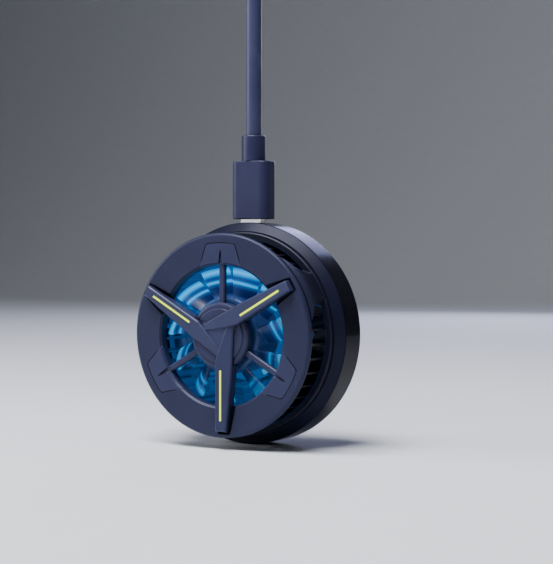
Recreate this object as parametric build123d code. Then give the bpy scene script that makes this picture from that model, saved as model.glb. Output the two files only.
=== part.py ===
from build123d import *
import os
from math import asin, cos, degrees, sin, pi, radians, sqrt

os.makedirs("parts", exist_ok=True)

# Magnetic cooling fan for the back of a phone.
# It is modelled lying on its back: x to the right, y up along the cable, z the depth from the face
# that touches the phone towards the viewer. Every piece is tipped upright when it is saved, so that
# in the finished part +Z is up, the fan faces -Y and the contact face lies on Y = 0.
# All sizes are millimetres.

# Shared clearances
close_gap = 0.1          # between pieces that are fitted or glued
free_gap = 0.3           # between pieces that only pass each other
running_gap = 0.05       # on the radius of the shaft in its bearing
tip_gap = 0.15           # past the tip of a screw or pin in its blind hole
overrun = 1.0            # how far a cut runs past what it cuts

# Thermoelectric module: its side sets how wide everything round it is
module_side = 30.0
ceramic_thickness = 0.7
pellet_side = 1.4
pellet_rows = 10
pellet_margin = 1.0
thermal_pad_thickness = 0.2
module_lead_radius = 0.4
module_lead_offset = 4.0

# Contact face: silicone pad, cold plate
pad_thickness = 0.5
pad_window_gap = 1.5
module_corner_gap = 0.7868
cold_flange_width = 2.0
cold_flange_thickness = 1.0

# Magnet ring
magnet_flange_gap = 1.0
magnet_width = 4.0
magnet_thickness = 2.0
magnet_count = 18
magnet_spacing = 0.4
shunt_thickness = 0.6

# Base shell
wall_thickness = 1.0
wall_back = 0.3
wall_edge_chamfer = 0.5
floor_thickness = 1.2
wall_above_port = 1.47

# Heat sink
sink_inset = 1.4
sink_base_thickness = 1.6
fin_count = 40
fin_thickness = 0.6
fin_board_gap = 0.8
bowl_gap = 1.0
low_fin_drop = 4.7
tall_fin_drop = 0.7
clamp_inset = 1.6
clamp_count = 4
clamp_screw_radius = 0.75
clamp_head_radius = 1.6
clamp_head_height = 1.0
clamp_screw_reach = 1.6
bush_wall = 0.4
bush_flange_width = 0.3
bush_flange_thickness = 0.4

# Middle housing and case screws
bore_gap = 0.7
skirt_thickness = 0.8
skirt_depth = 2.7
shoulder_height = 2.0
shoulder_ledge = 0.3
case_screw_angles = (10, 130, 250)
case_post_radius = 1.25
case_post_gap = 0.15
case_screw_radius = 0.6
case_screw_head_radius = 1.0
case_screw_head_height = 0.6
case_screw_reach = 5.5
cover_screw_inset = 0.8
cover_screw_radius = 0.4
cover_screw_head_radius = 0.75
cover_screw_head_height = 0.7
cover_screw_reach = 2.6

# Front cover: bezel, legs and lip ring
cover_gap = 0.6
cover_wall = 1.65
lip_stand = 0.25
lip_height = 1.1
lip_chamfer = 0.3
groove_height = 0.3
groove_depth = 0.8
bezel_thickness = 1.6
bezel_edge_round = 1.0
bezel_hem = 0.5
opening_gap = 0.7
opening_chamfer = 0.55
shroud_wall = 1.0
leg_angles = (30, 150, 270)
leg_top_half_width = 9.6
leg_outer_shares = ((0.375, 0.0), (0.26, 0.2), (0.36, 0.42), (0.62, 0.78), (1.0, 1.0))
leg_inner_shares = ((0.86, 0.0), (0.88, 0.12), (0.70, 0.36), (0.82, 0.64), (1.02, 1.0))

# Flush tabs of the grille frame in the bezel
tab_angles = (90, 210, 330)
tab_gap = 0.14
tab_thickness = 1.0
tab_inset = 2.75
tab_inner_half_width = 6.3
tab_outer_half_width = 4.5
tab_corner_radius = 0.9
tab_groove_inset = 1.5
tab_groove_depth = 0.45

# Tapered pockets of the bezel that the raised blades lie in: the mouth's widths behind the blade
# are shares of the blade's width
pocket_end_gap = 0.4
pocket_lead_start = 1.65
pocket_lead_end = 0.65
pocket_mouth_shares = (1.06, 0.61)
pocket_floor_gap = 0.18

# Grille frame
hub_inset = 1.6
hub_stand = 0.4
hub_edge_round = 0.7
hub_step_width = 1.6
hub_step_height = 0.35
spoke_fan_gap = 0.8
spoke_width = 1.75
spoke_inset = 0.7
spoke_thickness = 1.2
spoke_chamfer = 0.3

# Pinwheel cap: the swirl's points are shares of the blade's width, the trailing edge's points are
# shares of its reach and its width
blade_stand = 1.8
blade_root_depth = 1.4
blade_inset = 1.55
blade_width = 5.0
blade_tilt_share = 0.14
blade_lead = 0.4
blade_edge_chamfer = 0.35
blade_nose_length = 0.6
blade_nose_drop = 3.2
trail_hub_shares = ((-0.72, 1.08), (-0.3156, 0.99))
trail_blade_shares = ((0.38, 0.87), (0.757, 0.67), (1.0, 0.52))
swirl_start_share = 1.4
swirl_middle_shares = (0.52, 0.2)
swirl_end_shares = (-0.44, 0.55)
cap_centre_inset = 3.0
cap_centre_height = 1.1
cap_pin_radius = 0.8
cap_pin_inset = 1.8
cap_pin_reach = 1.5
accent_hub_gap = 0.3
accent_end_gap = 3.4
accent_width = 0.75
accent_offset = 1.25
accent_sink = 0.35
accent_stand = 0.05

# Impeller
blade_tip_radius = 18.6
impeller_hub_radius = 10.6
impeller_board_gap = 0.9
impeller_wall = 1.0
impeller_cap_thickness = 1.6
impeller_edge_round = 1.0
impeller_boss_wall = 1.45
impeller_boss_height = 1.2
impeller_boss_gap = 0.4
fan_blade_count = 11
fan_blade_thickness = 0.7
fan_blade_drop = 2.8
fan_blade_root_chord = 6.4
fan_blade_tip_chord = 8.4
fan_blade_root_pitch = 52
fan_blade_tip_pitch = 38
fan_blade_sweep = 3.0
fan_blade_camber = 0.7

# Motor
mount_inset = 2.0
mount_thickness = 1.0
bearing_wall = 0.9
bearing_tube_wall = 0.7
bearing_drop = 0.5
shaft_radius = 0.9
shaft_grip = 0.8
thrust_pad_thickness = 0.25
mount_screw_inset = 1.7
mount_screw_radius = 0.5
mount_screw_head_radius = 1.0
mount_screw_head_height = 0.5
mount_screw_reach = 0.9
motor_board_ledge = 2.4
motor_board_thickness = 0.7
light_chip_count = 6
light_chip_side = 1.4
light_chip_height = 0.8
light_chip_inset = 1.1
stator_ring_wall = 1.2
stator_rise = 0.9
stator_height = 5.0
stator_pole_count = 6
stator_arm_width = 1.3
stator_shoe_thickness = 0.7
stator_shoe_angle = 44
winding_ring_gap = 0.4
winding_build = 0.75
winding_headroom = 3.3
yoke_wall = 0.5
rotor_magnet_thickness = 1.05
rotor_magnet_gap = 0.35
rotor_magnet_lead = 0.4
rotor_magnet_extra = 0.6

# Control board
board_thickness = 0.6
board_magnet_overlap = 0.4
board_wall_gap = 0.5
board_start_angle = 52
board_end_angle = 122
board_insulator_thickness = 0.1
chip_height = 0.8
chip_sides = (1, 1, -1, -1)
chip_port_gaps = (6.54, 2.69, 2.56, 5.67)
chip_insets = (4.8, 5.3, 3.4, 2.8)
chip_sizes = ((2.6, 1.6), (1.6, 1.0), (3.2, 3.2), (2.0, 2.0))
fan_lead_angles = (63, 72)
fan_lead_radius = 0.35
fan_lead_bend = 1.2
fan_lead_inset = 0.9
fan_lead_hole_gap = 0.45

# USB-C port
port_stand = 0.17
port_width = 8.94
port_height = 3.26
port_wall = 0.3
port_length = 6.6
port_recess = 0.6
port_back_wall = 0.5
port_foot_length = 1.4
port_foot_thickness = 0.3
port_foot_reach = 1.0
port_foot_shares = (0.25, 0.68)
tongue_side_gap = 0.33
tongue_thickness = 0.7
tongue_inset = 0.5

# USB-C plug on the cable
plug_side_gap = 0.045
plug_face_gap = 0.13
plug_wall = 0.45
plug_seat_gap = 0.95
plug_hollow_gap = 0.25
grip_gap = 0.9
grip_length = 16.2
grip_width = 11.7
grip_depth = 6.5
grip_corner_radius = 2.3
grip_edge_round = 0.35
relief_radius = 3.35
relief_length = 7.1
relief_edge_round = 0.4

# Cable and far plug
cable_radius = 2.15
cable_length = 45.0
far_relief_radius = 3.4
far_relief_length = 7.0
far_grip_length = 21.0
far_grip_width = 15.6
far_grip_depth = 7.8
far_grip_corner_radius = 1.6
far_shell_width = 12.0
far_shell_height = 4.5
far_shell_wall = 0.35
far_shell_length = 18.6
far_tongue_side_gap = 0.15
far_tongue_thickness = 1.9
far_tongue_inset = 1.2

# Depths that follow from the stack of pieces, from the contact face to the front
floor_back = pad_thickness
floor_front = floor_back + floor_thickness
flange_front = floor_front + cold_flange_thickness
shunt_back = floor_front + magnet_thickness
shunt_front = shunt_back + shunt_thickness
board_back = shunt_front + board_insulator_thickness
board_front = board_back + board_thickness
sink_back = board_front + chip_height + free_gap
cold_ceramic_back = flange_front + thermal_pad_thickness
pellet_back = cold_ceramic_back + ceramic_thickness
hot_ceramic_front = sink_back - thermal_pad_thickness
hot_ceramic_back = hot_ceramic_front - ceramic_thickness
sink_floor = sink_back + sink_base_thickness
port_depth = shunt_front + port_stand + port_height / 2
wall_front = port_depth + port_height / 2 + wall_above_port
shoulder_front = wall_front + shoulder_height
lip_front = shoulder_front + groove_height + lip_height
mount_front = sink_floor + mount_thickness
motor_board_front = mount_front + motor_board_thickness
impeller_back = motor_board_front + impeller_board_gap
stator_back = impeller_back + stator_rise
cup_ceiling = stator_back + stator_height + winding_headroom
impeller_front = cup_ceiling + impeller_cap_thickness
fan_blade_centre = impeller_front - fan_blade_drop
low_fin_front = fan_blade_centre - low_fin_drop
tall_fin_front = impeller_front - tall_fin_drop
bearing_tube_front = cup_ceiling - impeller_boss_height - impeller_boss_gap
shaft_front = cup_ceiling + shaft_grip
rotor_magnet_back = stator_back - rotor_magnet_lead
rotor_magnet_height = stator_height + rotor_magnet_extra
shroud_back = tall_fin_front + free_gap
spoke_back = impeller_front + spoke_fan_gap
spoke_front = spoke_back + spoke_thickness
bezel_front = spoke_front + spoke_inset
bezel_back = bezel_front - bezel_thickness
tab_back = bezel_front - tab_thickness
hub_front = bezel_front + hub_stand
hub_top = hub_front + hub_step_height
blade_back = bezel_front - blade_root_depth
blade_front = hub_front + blade_stand

# Radii that follow from the module outwards
half_side = module_side / 2
cold_flange_radius = half_side * sqrt(2) + module_corner_gap
cold_plate_radius = cold_flange_radius - cold_flange_width
pad_inner_radius = cold_plate_radius + pad_window_gap
clamp_circle_radius = cold_plate_radius - clamp_inset
bush_flange_radius = clamp_head_radius + bush_flange_width
clamp_well_radius = bush_flange_radius + free_gap
magnet_inner_radius = cold_flange_radius + magnet_flange_gap
magnet_outer_radius = magnet_inner_radius + magnet_width
case_screw_circle_radius = magnet_outer_radius + case_post_gap + case_post_radius
wall_inner_radius = case_screw_circle_radius + case_post_radius + case_post_gap
wall_radius = wall_inner_radius + wall_thickness
pad_outer_radius = wall_inner_radius - free_gap
sink_radius = magnet_outer_radius - sink_inset
housing_bore_radius = sink_radius + bore_gap
cover_screw_circle_radius = housing_bore_radius + cover_screw_inset
cover_inner_radius = sink_radius + cover_gap
cover_radius = cover_inner_radius + cover_wall
lip_radius = cover_radius + lip_stand
shoulder_top_radius = lip_radius + shoulder_ledge
tab_reach = cover_radius - tab_inset
tab_groove_reach = tab_reach - tab_groove_inset
blade_reach = cover_radius - blade_inset
pocket_reach = blade_reach + pocket_end_gap
board_inner_radius = magnet_inner_radius - board_magnet_overlap
board_outer_radius = wall_inner_radius - board_wall_gap
fan_lead_drop_radius = board_inner_radius + fan_lead_inset
fan_lead_hole_radius = fan_lead_radius + fan_lead_hole_gap

# Radii that follow from the impeller and the shaft
bowl_radius = blade_tip_radius + bowl_gap
opening_radius = blade_tip_radius + opening_gap
hub_radius = impeller_hub_radius - hub_inset
hub_step_radius = hub_radius - hub_step_width
cap_pin_circle_radius = hub_step_radius - cap_pin_inset
cap_centre_radius = hub_step_radius - cap_centre_inset
accent_start = hub_radius + accent_hub_gap
accent_end = blade_reach - accent_end_gap
motor_board_radius = impeller_hub_radius + motor_board_ledge
light_chip_circle_radius = motor_board_radius - light_chip_inset
fin_inner_radius = motor_board_radius + fin_board_gap
mount_radius = impeller_hub_radius - mount_inset
mount_screw_circle_radius = mount_radius - mount_screw_inset
cup_inner_radius = impeller_hub_radius - impeller_wall
yoke_radius = cup_inner_radius - running_gap
rotor_magnet_radius = yoke_radius - yoke_wall - running_gap
stator_radius = rotor_magnet_radius - rotor_magnet_thickness - rotor_magnet_gap
bearing_radius = shaft_radius + running_gap + bearing_wall
bearing_bore_radius = bearing_radius + running_gap
bearing_tube_radius = bearing_bore_radius + bearing_tube_wall
impeller_boss_radius = shaft_radius + running_gap + impeller_boss_wall
core_ring_inner = bearing_tube_radius + close_gap
core_ring_outer = core_ring_inner + stator_ring_wall
winding_inner_radius = core_ring_outer + winding_ring_gap
winding_half_width = stator_arm_width / 2 + running_gap + winding_build
shoe_inner_radius = stator_radius - stator_shoe_thickness
winding_outer_radius = sqrt((shoe_inner_radius - running_gap) ** 2 - winding_half_width ** 2)

# Port and plug, from the wall inwards and up along the cable
port_mouth = wall_radius - port_recess
port_back = port_mouth - port_length
port_notch_half_width = port_width / 2 + free_gap * 2
tongue_back = port_back + port_back_wall
tongue_front = port_mouth - tongue_inset
plug_width = port_width - 2 * port_wall - 2 * plug_side_gap
plug_height = port_height - 2 * port_wall - 2 * plug_face_gap
half_tongue = plug_width / 2 - plug_wall - tongue_side_gap
plug_tip = tongue_back + plug_seat_gap
plug_hollow_end = port_mouth + plug_hollow_gap
grip_bottom = wall_radius + grip_gap
grip_top = grip_bottom + grip_length
relief_top = grip_top + relief_length
cable_top = relief_top + cable_length
far_relief_top = cable_top + far_relief_length
far_grip_top = far_relief_top + far_grip_length
far_shell_top = far_grip_top + far_shell_length
far_tongue_width = far_shell_width - 2 * far_shell_wall - 2 * far_tongue_side_gap
far_tongue_top = far_shell_top - far_tongue_inset

bottom_centred = (Align.CENTER, Align.CENTER, Align.MIN)


def cylinder(radius, back, front):
    """Solid disc or rod about the fan's axis."""
    return Pos(0, 0, back) * Cylinder(radius, front - back, align=bottom_centred)


def ring(outer, inner, back, front):
    """Plain ring about the fan's axis."""
    return cylinder(outer, back, front) - cylinder(inner, back - overrun, front + overrun)


def around(radius, angle):
    """Point at an angle on a circle about the fan's axis."""
    return radius * cos(radians(angle)), radius * sin(radians(angle))


def rod_at(radius, back, front, circle, angle):
    """Rod parallel to the fan's axis."""
    x, y = around(circle, angle)
    return Pos(x, y, 0) * cylinder(radius, back, front)


def spin(shape, angle):
    """Turn a shape about the fan's axis."""
    return Rot(Z=angle) * shape


def turned(points):
    """Solid of revolution from a closed outline of (radius, depth) points."""
    outline = make_face(Plane.XZ * Polyline(*points, close=True))
    return revolve(outline, Axis.Z)


def block(x0, x1, y0, y1, z0, z1):
    """Box between two corners."""
    size = Box(x1 - x0, y1 - y0, z1 - z0, align=(Align.MIN, Align.MIN, Align.MIN))
    return Pos(x0, y0, z0) * size


def sector(outer, inner, back, front, start, end):
    """Part of a ring between two angles."""
    middle = (start + end) / 2
    half = radians(end - start) / 2
    far = (outer + overrun) / cos(half)
    corners = [(0, 0)]
    for side in (-half, 0, half):
        reach = far / cos(half) if side == 0 else far
        corners.append((reach * cos(side), reach * sin(side)))
    wedge = extrude(make_face(Polyline(*corners, close=True)), amount=front - back)
    return ring(outer, inner, back, front) & spin(Pos(0, 0, back) * wedge, middle)


def slot_block(width, height, start, end):
    """Bar of stadium section running up along the cable, centred on the port."""
    plane = Plane(origin=(0, start, port_depth), x_dir=(1, 0, 0), z_dir=(0, 1, 0))
    return extrude(plane * SlotOverall(width, height), amount=end - start)


def upright_rod(radius, start, end):
    """Round bar running up along the cable."""
    plane = Plane(origin=(0, start, port_depth), x_dir=(1, 0, 0), z_dir=(0, 1, 0))
    return extrude(plane * Circle(radius), amount=end - start)


def upright_bar(width, depth, corner, start, end):
    """Bar of rounded rectangular section running up along the cable."""
    plane = Plane(origin=(0, start, port_depth), x_dir=(1, 0, 0), z_dir=(0, 1, 0))
    return extrude(plane * RectangleRounded(width, depth, corner), amount=end - start)


def save(name, *shapes):
    """Tip the piece upright and write its file; several solids stay separate in one file."""
    solids = []
    for shape in shapes:
        solids.extend((Rot(X=90) * shape).solids())
    whole = solids[0] if len(solids) == 1 else Compound(children=solids)
    whole.label = name
    export_step(whole, f"parts/{name}.step")


# Silicone pad that touches the phone
save("contact_pad", ring(pad_outer_radius, pad_inner_radius, 0, pad_thickness))

# Cold plate: the boss reaches the phone, the flange sits on the floor inside, tapped for the clamps
cold_plate = cylinder(cold_plate_radius, 0, floor_front)
cold_plate += cylinder(cold_flange_radius, floor_front, flange_front)
clamp_screw_tip = flange_front - clamp_screw_reach
clamp_angles = [360 / clamp_count * i for i in range(clamp_count)]
for angle in clamp_angles:
    hole_end = clamp_screw_tip - tip_gap
    cold_plate -= rod_at(
        clamp_screw_radius + running_gap, hole_end, flange_front + overrun, clamp_circle_radius, angle
    )
save("cold_plate", cold_plate)

# Base shell: a shallow cup with a window for the cold plate and the mouth of the port in its wall
base_shell = turned([
    (cold_plate_radius + close_gap, floor_back),
    (wall_inner_radius, floor_back),
    (wall_inner_radius, wall_back),
    (wall_radius - wall_edge_chamfer, wall_back),
    (wall_radius, wall_back + wall_edge_chamfer),
    (wall_radius, wall_front),
    (wall_inner_radius, wall_front),
    (wall_inner_radius, floor_front),
    (cold_plate_radius + close_gap, floor_front),
])
for angle in case_screw_angles:
    base_shell -= rod_at(
        case_screw_radius + close_gap, floor_back - overrun, floor_front + overrun,
        case_screw_circle_radius, angle,
    )
    base_shell -= rod_at(
        case_screw_head_radius + close_gap, floor_back - overrun, floor_back + case_screw_head_height,
        case_screw_circle_radius, angle,
    )
base_shell -= slot_block(
    port_width + 2 * close_gap, port_height + 2 * close_gap,
    port_mouth - overrun * 2, wall_radius + overrun,
)
save("base_shell", base_shell)

# Magnets and the steel ring behind them
magnet_pitch = 360 / magnet_count
magnet_trim = magnet_spacing / magnet_inner_radius * 180 / pi
magnets = [
    sector(
        magnet_outer_radius, magnet_inner_radius, floor_front, shunt_back,
        magnet_pitch * i + magnet_trim / 2, magnet_pitch * (i + 1) - magnet_trim / 2,
    )
    for i in range(magnet_count)
]
save("magnet_segments", *magnets)
save("magnet_shunt", ring(magnet_outer_radius, magnet_inner_radius, shunt_back, shunt_front))

# Thermoelectric module between its two pads


def square_plate(back, front):
    """Square plate of the module's size."""
    return block(-half_side, half_side, -half_side, half_side, back, front)


save("cold_thermal_pad", square_plate(flange_front, cold_ceramic_back))
save("cold_ceramic", square_plate(cold_ceramic_back, pellet_back))
pellet_pitch = (module_side - 2 * pellet_margin - pellet_side) / (pellet_rows - 1)
pellets = []
for row in range(pellet_rows):
    for column in range(pellet_rows):
        x = -half_side + pellet_margin + pellet_pitch * column
        y = -half_side + pellet_margin + pellet_pitch * row
        pellets.append(block(x, x + pellet_side, y, y + pellet_side, pellet_back, hot_ceramic_back))
save("module_pellets", *pellets)
save("hot_ceramic", square_plate(hot_ceramic_back, hot_ceramic_front))
save("hot_thermal_pad", square_plate(hot_ceramic_front, sink_back))

# Heat sink: a round base, low fins under the impeller and tall fins round it
sink = cylinder(sink_radius, sink_back, sink_floor)
fin_pitch = 360 / fin_count


def fin_plan(inner):
    """Plan of all the fins from an inner radius out to the edge of the sink."""
    bar = Pos((inner + sink_radius) / 2, 0) * Rectangle(sink_radius - inner + overrun, fin_thickness)
    bars = [Rot(Z=fin_pitch * (i + 0.5)) * bar for i in range(fin_count)]
    return (Sketch() + bars) & (Circle(sink_radius) - Circle(inner))


sink += extrude(Pos(0, 0, sink_floor) * fin_plan(fin_inner_radius), amount=low_fin_front - sink_floor)
sink += extrude(Pos(0, 0, low_fin_front) * fin_plan(bowl_radius), amount=tall_fin_front - low_fin_front)
bush_radius = clamp_screw_radius + bush_wall
for angle in clamp_angles:
    sink -= rod_at(clamp_well_radius, sink_floor, tall_fin_front + overrun, clamp_circle_radius, angle)
    sink -= rod_at(
        bush_radius + running_gap, sink_back - overrun, sink_floor + overrun, clamp_circle_radius, angle
    )
mount_screw_angles = leg_angles
for angle in mount_screw_angles:
    sink -= rod_at(
        mount_screw_radius + running_gap, sink_floor - mount_screw_reach - tip_gap,
        sink_floor + overrun, mount_screw_circle_radius, angle,
    )
sink -= block(
    -port_notch_half_width, port_notch_half_width, port_back - free_gap * 2, wall_radius,
    sink_back - overrun, port_depth + port_height / 2 + free_gap * 2,
)
for angle in fan_lead_angles:
    sink -= rod_at(
        fan_lead_hole_radius, sink_back - overrun, sink_floor + overrun, fan_lead_drop_radius, angle
    )
save("heat_sink", sink)

# Clamp screws and the bushes that keep their heat from the cold plate
clamp_screws = []
clamp_bushes = []
for angle in clamp_angles:
    flange_top = sink_floor + bush_flange_thickness
    bush = rod_at(bush_radius, sink_back, sink_floor, clamp_circle_radius, angle)
    bush += rod_at(bush_flange_radius, sink_floor, flange_top, clamp_circle_radius, angle)
    bush -= rod_at(
        clamp_screw_radius + running_gap, sink_back - overrun, flange_top + overrun,
        clamp_circle_radius, angle,
    )
    clamp_bushes.append(bush)
    screw = rod_at(clamp_screw_radius, clamp_screw_tip, flange_top, clamp_circle_radius, angle)
    head_top = flange_top + clamp_head_height
    screw += rod_at(clamp_head_radius, flange_top, head_top, clamp_circle_radius, angle)
    screw -= rod_at(
        clamp_screw_radius, head_top - clamp_head_height / 2, head_top + overrun,
        clamp_circle_radius, angle,
    )
    clamp_screws.append(screw)
save("clamp_bushes", *clamp_bushes)
save("clamp_screws", *clamp_screws)

# Middle housing: skirt inside the wall, conical shoulder, posts for the case screws
skirt_radius = wall_inner_radius - close_gap
skirt_inner_radius = skirt_radius - skirt_thickness
housing = turned([
    (housing_bore_radius, wall_front),
    (skirt_inner_radius, wall_front),
    (skirt_inner_radius, wall_front - skirt_depth),
    (skirt_radius, wall_front - skirt_depth),
    (skirt_radius, wall_front),
    (wall_radius - close_gap, wall_front),
    (shoulder_top_radius, shoulder_front),
    (housing_bore_radius, shoulder_front),
])
case_screw_tip = floor_front + case_screw_reach
for angle in case_screw_angles:
    housing += rod_at(
        case_post_radius, floor_front, wall_front + close_gap, case_screw_circle_radius, angle
    )
    housing -= rod_at(
        case_screw_radius + running_gap, floor_front - overrun, case_screw_tip + tip_gap,
        case_screw_circle_radius, angle,
    )
for angle in leg_angles:
    housing -= rod_at(
        cover_screw_radius + running_gap, wall_front - overrun, shoulder_front + overrun,
        cover_screw_circle_radius, angle,
    )
housing -= block(
    -port_notch_half_width, port_notch_half_width, skirt_inner_radius - overrun, wall_radius,
    wall_front - skirt_depth - overrun, port_depth + port_height / 2 + close_gap * 2,
)
save("middle_housing", housing)

case_screws = []
cover_screws = []
cover_screw_tip = shoulder_front + cover_screw_reach
for angle in case_screw_angles:
    screw = rod_at(
        case_screw_radius, floor_back + case_screw_head_height, case_screw_tip,
        case_screw_circle_radius, angle,
    )
    screw += rod_at(
        case_screw_head_radius, floor_back, floor_back + case_screw_head_height,
        case_screw_circle_radius, angle,
    )
    case_screws.append(screw)
for angle in leg_angles:
    screw = rod_at(cover_screw_radius, wall_front, cover_screw_tip, cover_screw_circle_radius, angle)
    screw += rod_at(
        cover_screw_head_radius, wall_front - cover_screw_head_height, wall_front,
        cover_screw_circle_radius, angle,
    )
    cover_screws.append(screw)
save("case_screws", *case_screws)
save("cover_screws", *cover_screws)

# Front cover: bezel with its rounded rim and shroud, three legs and the lip ring


def bezel_ring():
    """Bezel as an unbroken ring, with the chamfered intake and the shroud behind it."""
    side = cover_radius - bezel_edge_round
    bend = bezel_front - bezel_edge_round
    start = Plane.XZ * Polyline(
        (side, bezel_front),
        (opening_radius + opening_chamfer, bezel_front),
        (opening_radius, bezel_front - opening_chamfer),
        (opening_radius, shroud_back),
        (opening_radius + shroud_wall, shroud_back),
        (opening_radius + shroud_wall, bezel_back),
        (cover_inner_radius, bezel_back),
        (cover_inner_radius, bezel_back - bezel_hem),
        (cover_radius - cover_wall / 3, bezel_back - bezel_hem),
        (cover_radius, bend),
    )
    rim = Plane.XZ * RadiusArc((cover_radius, bend), (side, bezel_front), -bezel_edge_round)
    return revolve(make_face([start, rim]), Axis.Z)


def leg_outline(distance, table):
    """Face of a leg seen along its radius, from a table of (half width, height) shares."""
    foot = shoulder_front + groove_height
    height = bezel_back - foot
    right = [(leg_top_half_width * w, foot + height * h) for w, h in table]
    left = [(-s, t) for s, t in reversed(right)]
    plane = Plane(origin=(distance, 0, 0), x_dir=(0, 1, 0), z_dir=(1, 0, 0))
    return plane * make_face(Polyline(*right, *left, close=True))


def leg():
    """Leg on the +x side, wide at the bezel, waisted and faceted towards the lip."""
    outer_face = leg_outline(cover_radius + overrun / 2, leg_outer_shares)
    inner_face = leg_outline(cover_inner_radius - cover_wall * 2, leg_inner_shares)
    solid = loft([inner_face, outer_face], ruled=True)
    return solid & ring(cover_radius, cover_inner_radius, shoulder_front, bezel_front)


def tab_plan(grow):
    """Plan of a flush tab on the +x side, grown by a gap."""
    start = opening_radius - overrun
    slope = (tab_inner_half_width - tab_outer_half_width) / (tab_reach - opening_radius)
    inner = tab_inner_half_width + slope * overrun + grow
    outer = tab_outer_half_width + grow
    reach = tab_reach + grow
    edge = sqrt(reach ** 2 - outer ** 2)
    sides = Polyline((edge, outer), (start, inner), (start, -inner), (edge, -outer))
    crown = ThreePointArc((edge, -outer), (reach, 0), (edge, outer))
    plan = make_face([sides, crown])
    corners = [v for v in plan.vertices() if v.X > opening_radius]
    return fillet(corners, tab_corner_radius)


def blade_pocket():
    """Sloping-sided recess on the +x side, widest where it runs out into the intake."""
    start = opening_radius - overrun
    floor_reach = blade_reach + tab_gap
    floor_lead = blade_lead + tab_gap
    (near_u, near_v), (middle_u, middle_v), (end_u, end_v) = trail_blade_shares
    trail_slope = (middle_v - near_v) / (middle_u - near_u)
    start_share = near_v + trail_slope * (start / blade_reach - near_u)
    floor = Polyline(
        (start, -floor_lead),
        (floor_reach, -floor_lead),
        (floor_reach, blade_width * end_v + pocket_floor_gap),
        (start, blade_width * start_share + pocket_floor_gap),
        close=True,
    )
    mouth = Polyline(
        (start, -pocket_lead_start),
        (pocket_reach, -pocket_lead_end),
        (pocket_reach, blade_width * pocket_mouth_shares[1]),
        (start, blade_width * pocket_mouth_shares[0]),
        close=True,
    )
    low = Pos(0, 0, tab_back) * make_face(floor)
    high = Pos(0, 0, bezel_front) * make_face(mouth)
    return loft([low, high], ruled=True) + extrude(high, amount=overrun)


bezel = bezel_ring()
cover = bezel
cover += [spin(leg(), angle) for angle in leg_angles]
lip_inner = cover_inner_radius + close_gap
cover += turned([
    (lip_inner, shoulder_front),
    (lip_radius - groove_depth, shoulder_front),
    (lip_radius - groove_depth, shoulder_front + groove_height),
    (lip_radius, shoulder_front + groove_height),
    (lip_radius, lip_front - lip_chamfer),
    (lip_radius - lip_chamfer, lip_front),
    (lip_inner, lip_front),
])
pocket = extrude(Pos(0, 0, tab_back) * tab_plan(tab_gap), amount=tab_thickness + overrun)
cover -= [spin(pocket, angle) for angle in tab_angles]
cover -= [spin(blade_pocket(), angle) for angle in leg_angles]
for angle in leg_angles:
    cover -= rod_at(
        cover_screw_radius + running_gap, shoulder_front - overrun, cover_screw_tip + tip_gap,
        cover_screw_circle_radius, angle,
    )
save("front_cover", cover)

# Grille frame: hub disc, thin spokes and the tabs that finish flush with the bezel
hub = turned([
    (0, spoke_back),
    (hub_radius, spoke_back),
    (hub_radius, hub_front - hub_edge_round),
    (hub_radius - hub_edge_round / 3, hub_front - hub_edge_round / 3),
    (hub_radius - hub_edge_round, hub_front),
    (hub_step_radius, hub_front),
    (hub_step_radius - hub_step_height / 2, hub_front + hub_step_height),
    (0, hub_front + hub_step_height),
])
half_spoke = spoke_width / 2
spoke_section = make_face(Polyline(
    (-half_spoke, spoke_back),
    (half_spoke, spoke_back),
    (half_spoke, spoke_front - spoke_chamfer),
    (half_spoke - spoke_chamfer, spoke_front),
    (-half_spoke + spoke_chamfer, spoke_front),
    (-half_spoke, spoke_front - spoke_chamfer),
    close=True,
))
spoke_start = hub_radius - hub_edge_round * 2
spoke_plane = Plane(origin=(spoke_start, 0, 0), x_dir=(0, 1, 0), z_dir=(1, 0, 0))
spoke = extrude(spoke_plane * spoke_section, amount=opening_radius + opening_chamfer - spoke_start)
spoke -= block(
    opening_radius - tab_gap, opening_radius + overrun, -spoke_width, spoke_width,
    spoke_back - overrun, tab_back,
)
tab = bezel_ring() & extrude(Pos(0, 0, tab_back) * tab_plan(0), amount=tab_thickness + overrun)
groove = make_face(Polyline(
    (opening_radius - overrun, -half_spoke),
    (tab_groove_reach, 0),
    (opening_radius - overrun, half_spoke),
    close=True,
))
tab -= extrude(Pos(0, 0, bezel_front - tab_groove_depth) * groove, amount=tab_groove_depth + overrun)
grille = hub
grille += [spin(spoke + tab, angle) for angle in tab_angles]
cap_pin_tip = hub_top - cap_pin_reach
for angle in leg_angles:
    grille -= rod_at(
        cap_pin_radius + running_gap, cap_pin_tip - tip_gap, hub_top + overrun,
        cap_pin_circle_radius, angle,
    )
save("grille_frame", grille)

# Pinwheel cap: three raised blades whose clockwise edges swirl over each other at the hub


def swirl_point(shares):
    """Point given as shares of the blade's width."""
    return blade_width * shares[0], blade_width * shares[1]


def blade_plan():
    """Plan of the raised blade on the +x side."""
    trail = [swirl_point(shares) for shares in trail_hub_shares]
    trail += [(blade_reach * u, blade_width * v) for u, v in trail_blade_shares]
    swirl_start = (blade_width * swirl_start_share, -blade_lead)
    swirl_end = swirl_point(swirl_end_shares)
    tuck = (trail[0][0], swirl_end[1])
    lines = Polyline(swirl_end, tuck, *trail, (blade_reach, -blade_lead), swirl_start)
    swirl = ThreePointArc(swirl_start, swirl_point(swirl_middle_shares), swirl_end)
    return make_face([lines, swirl])


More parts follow.
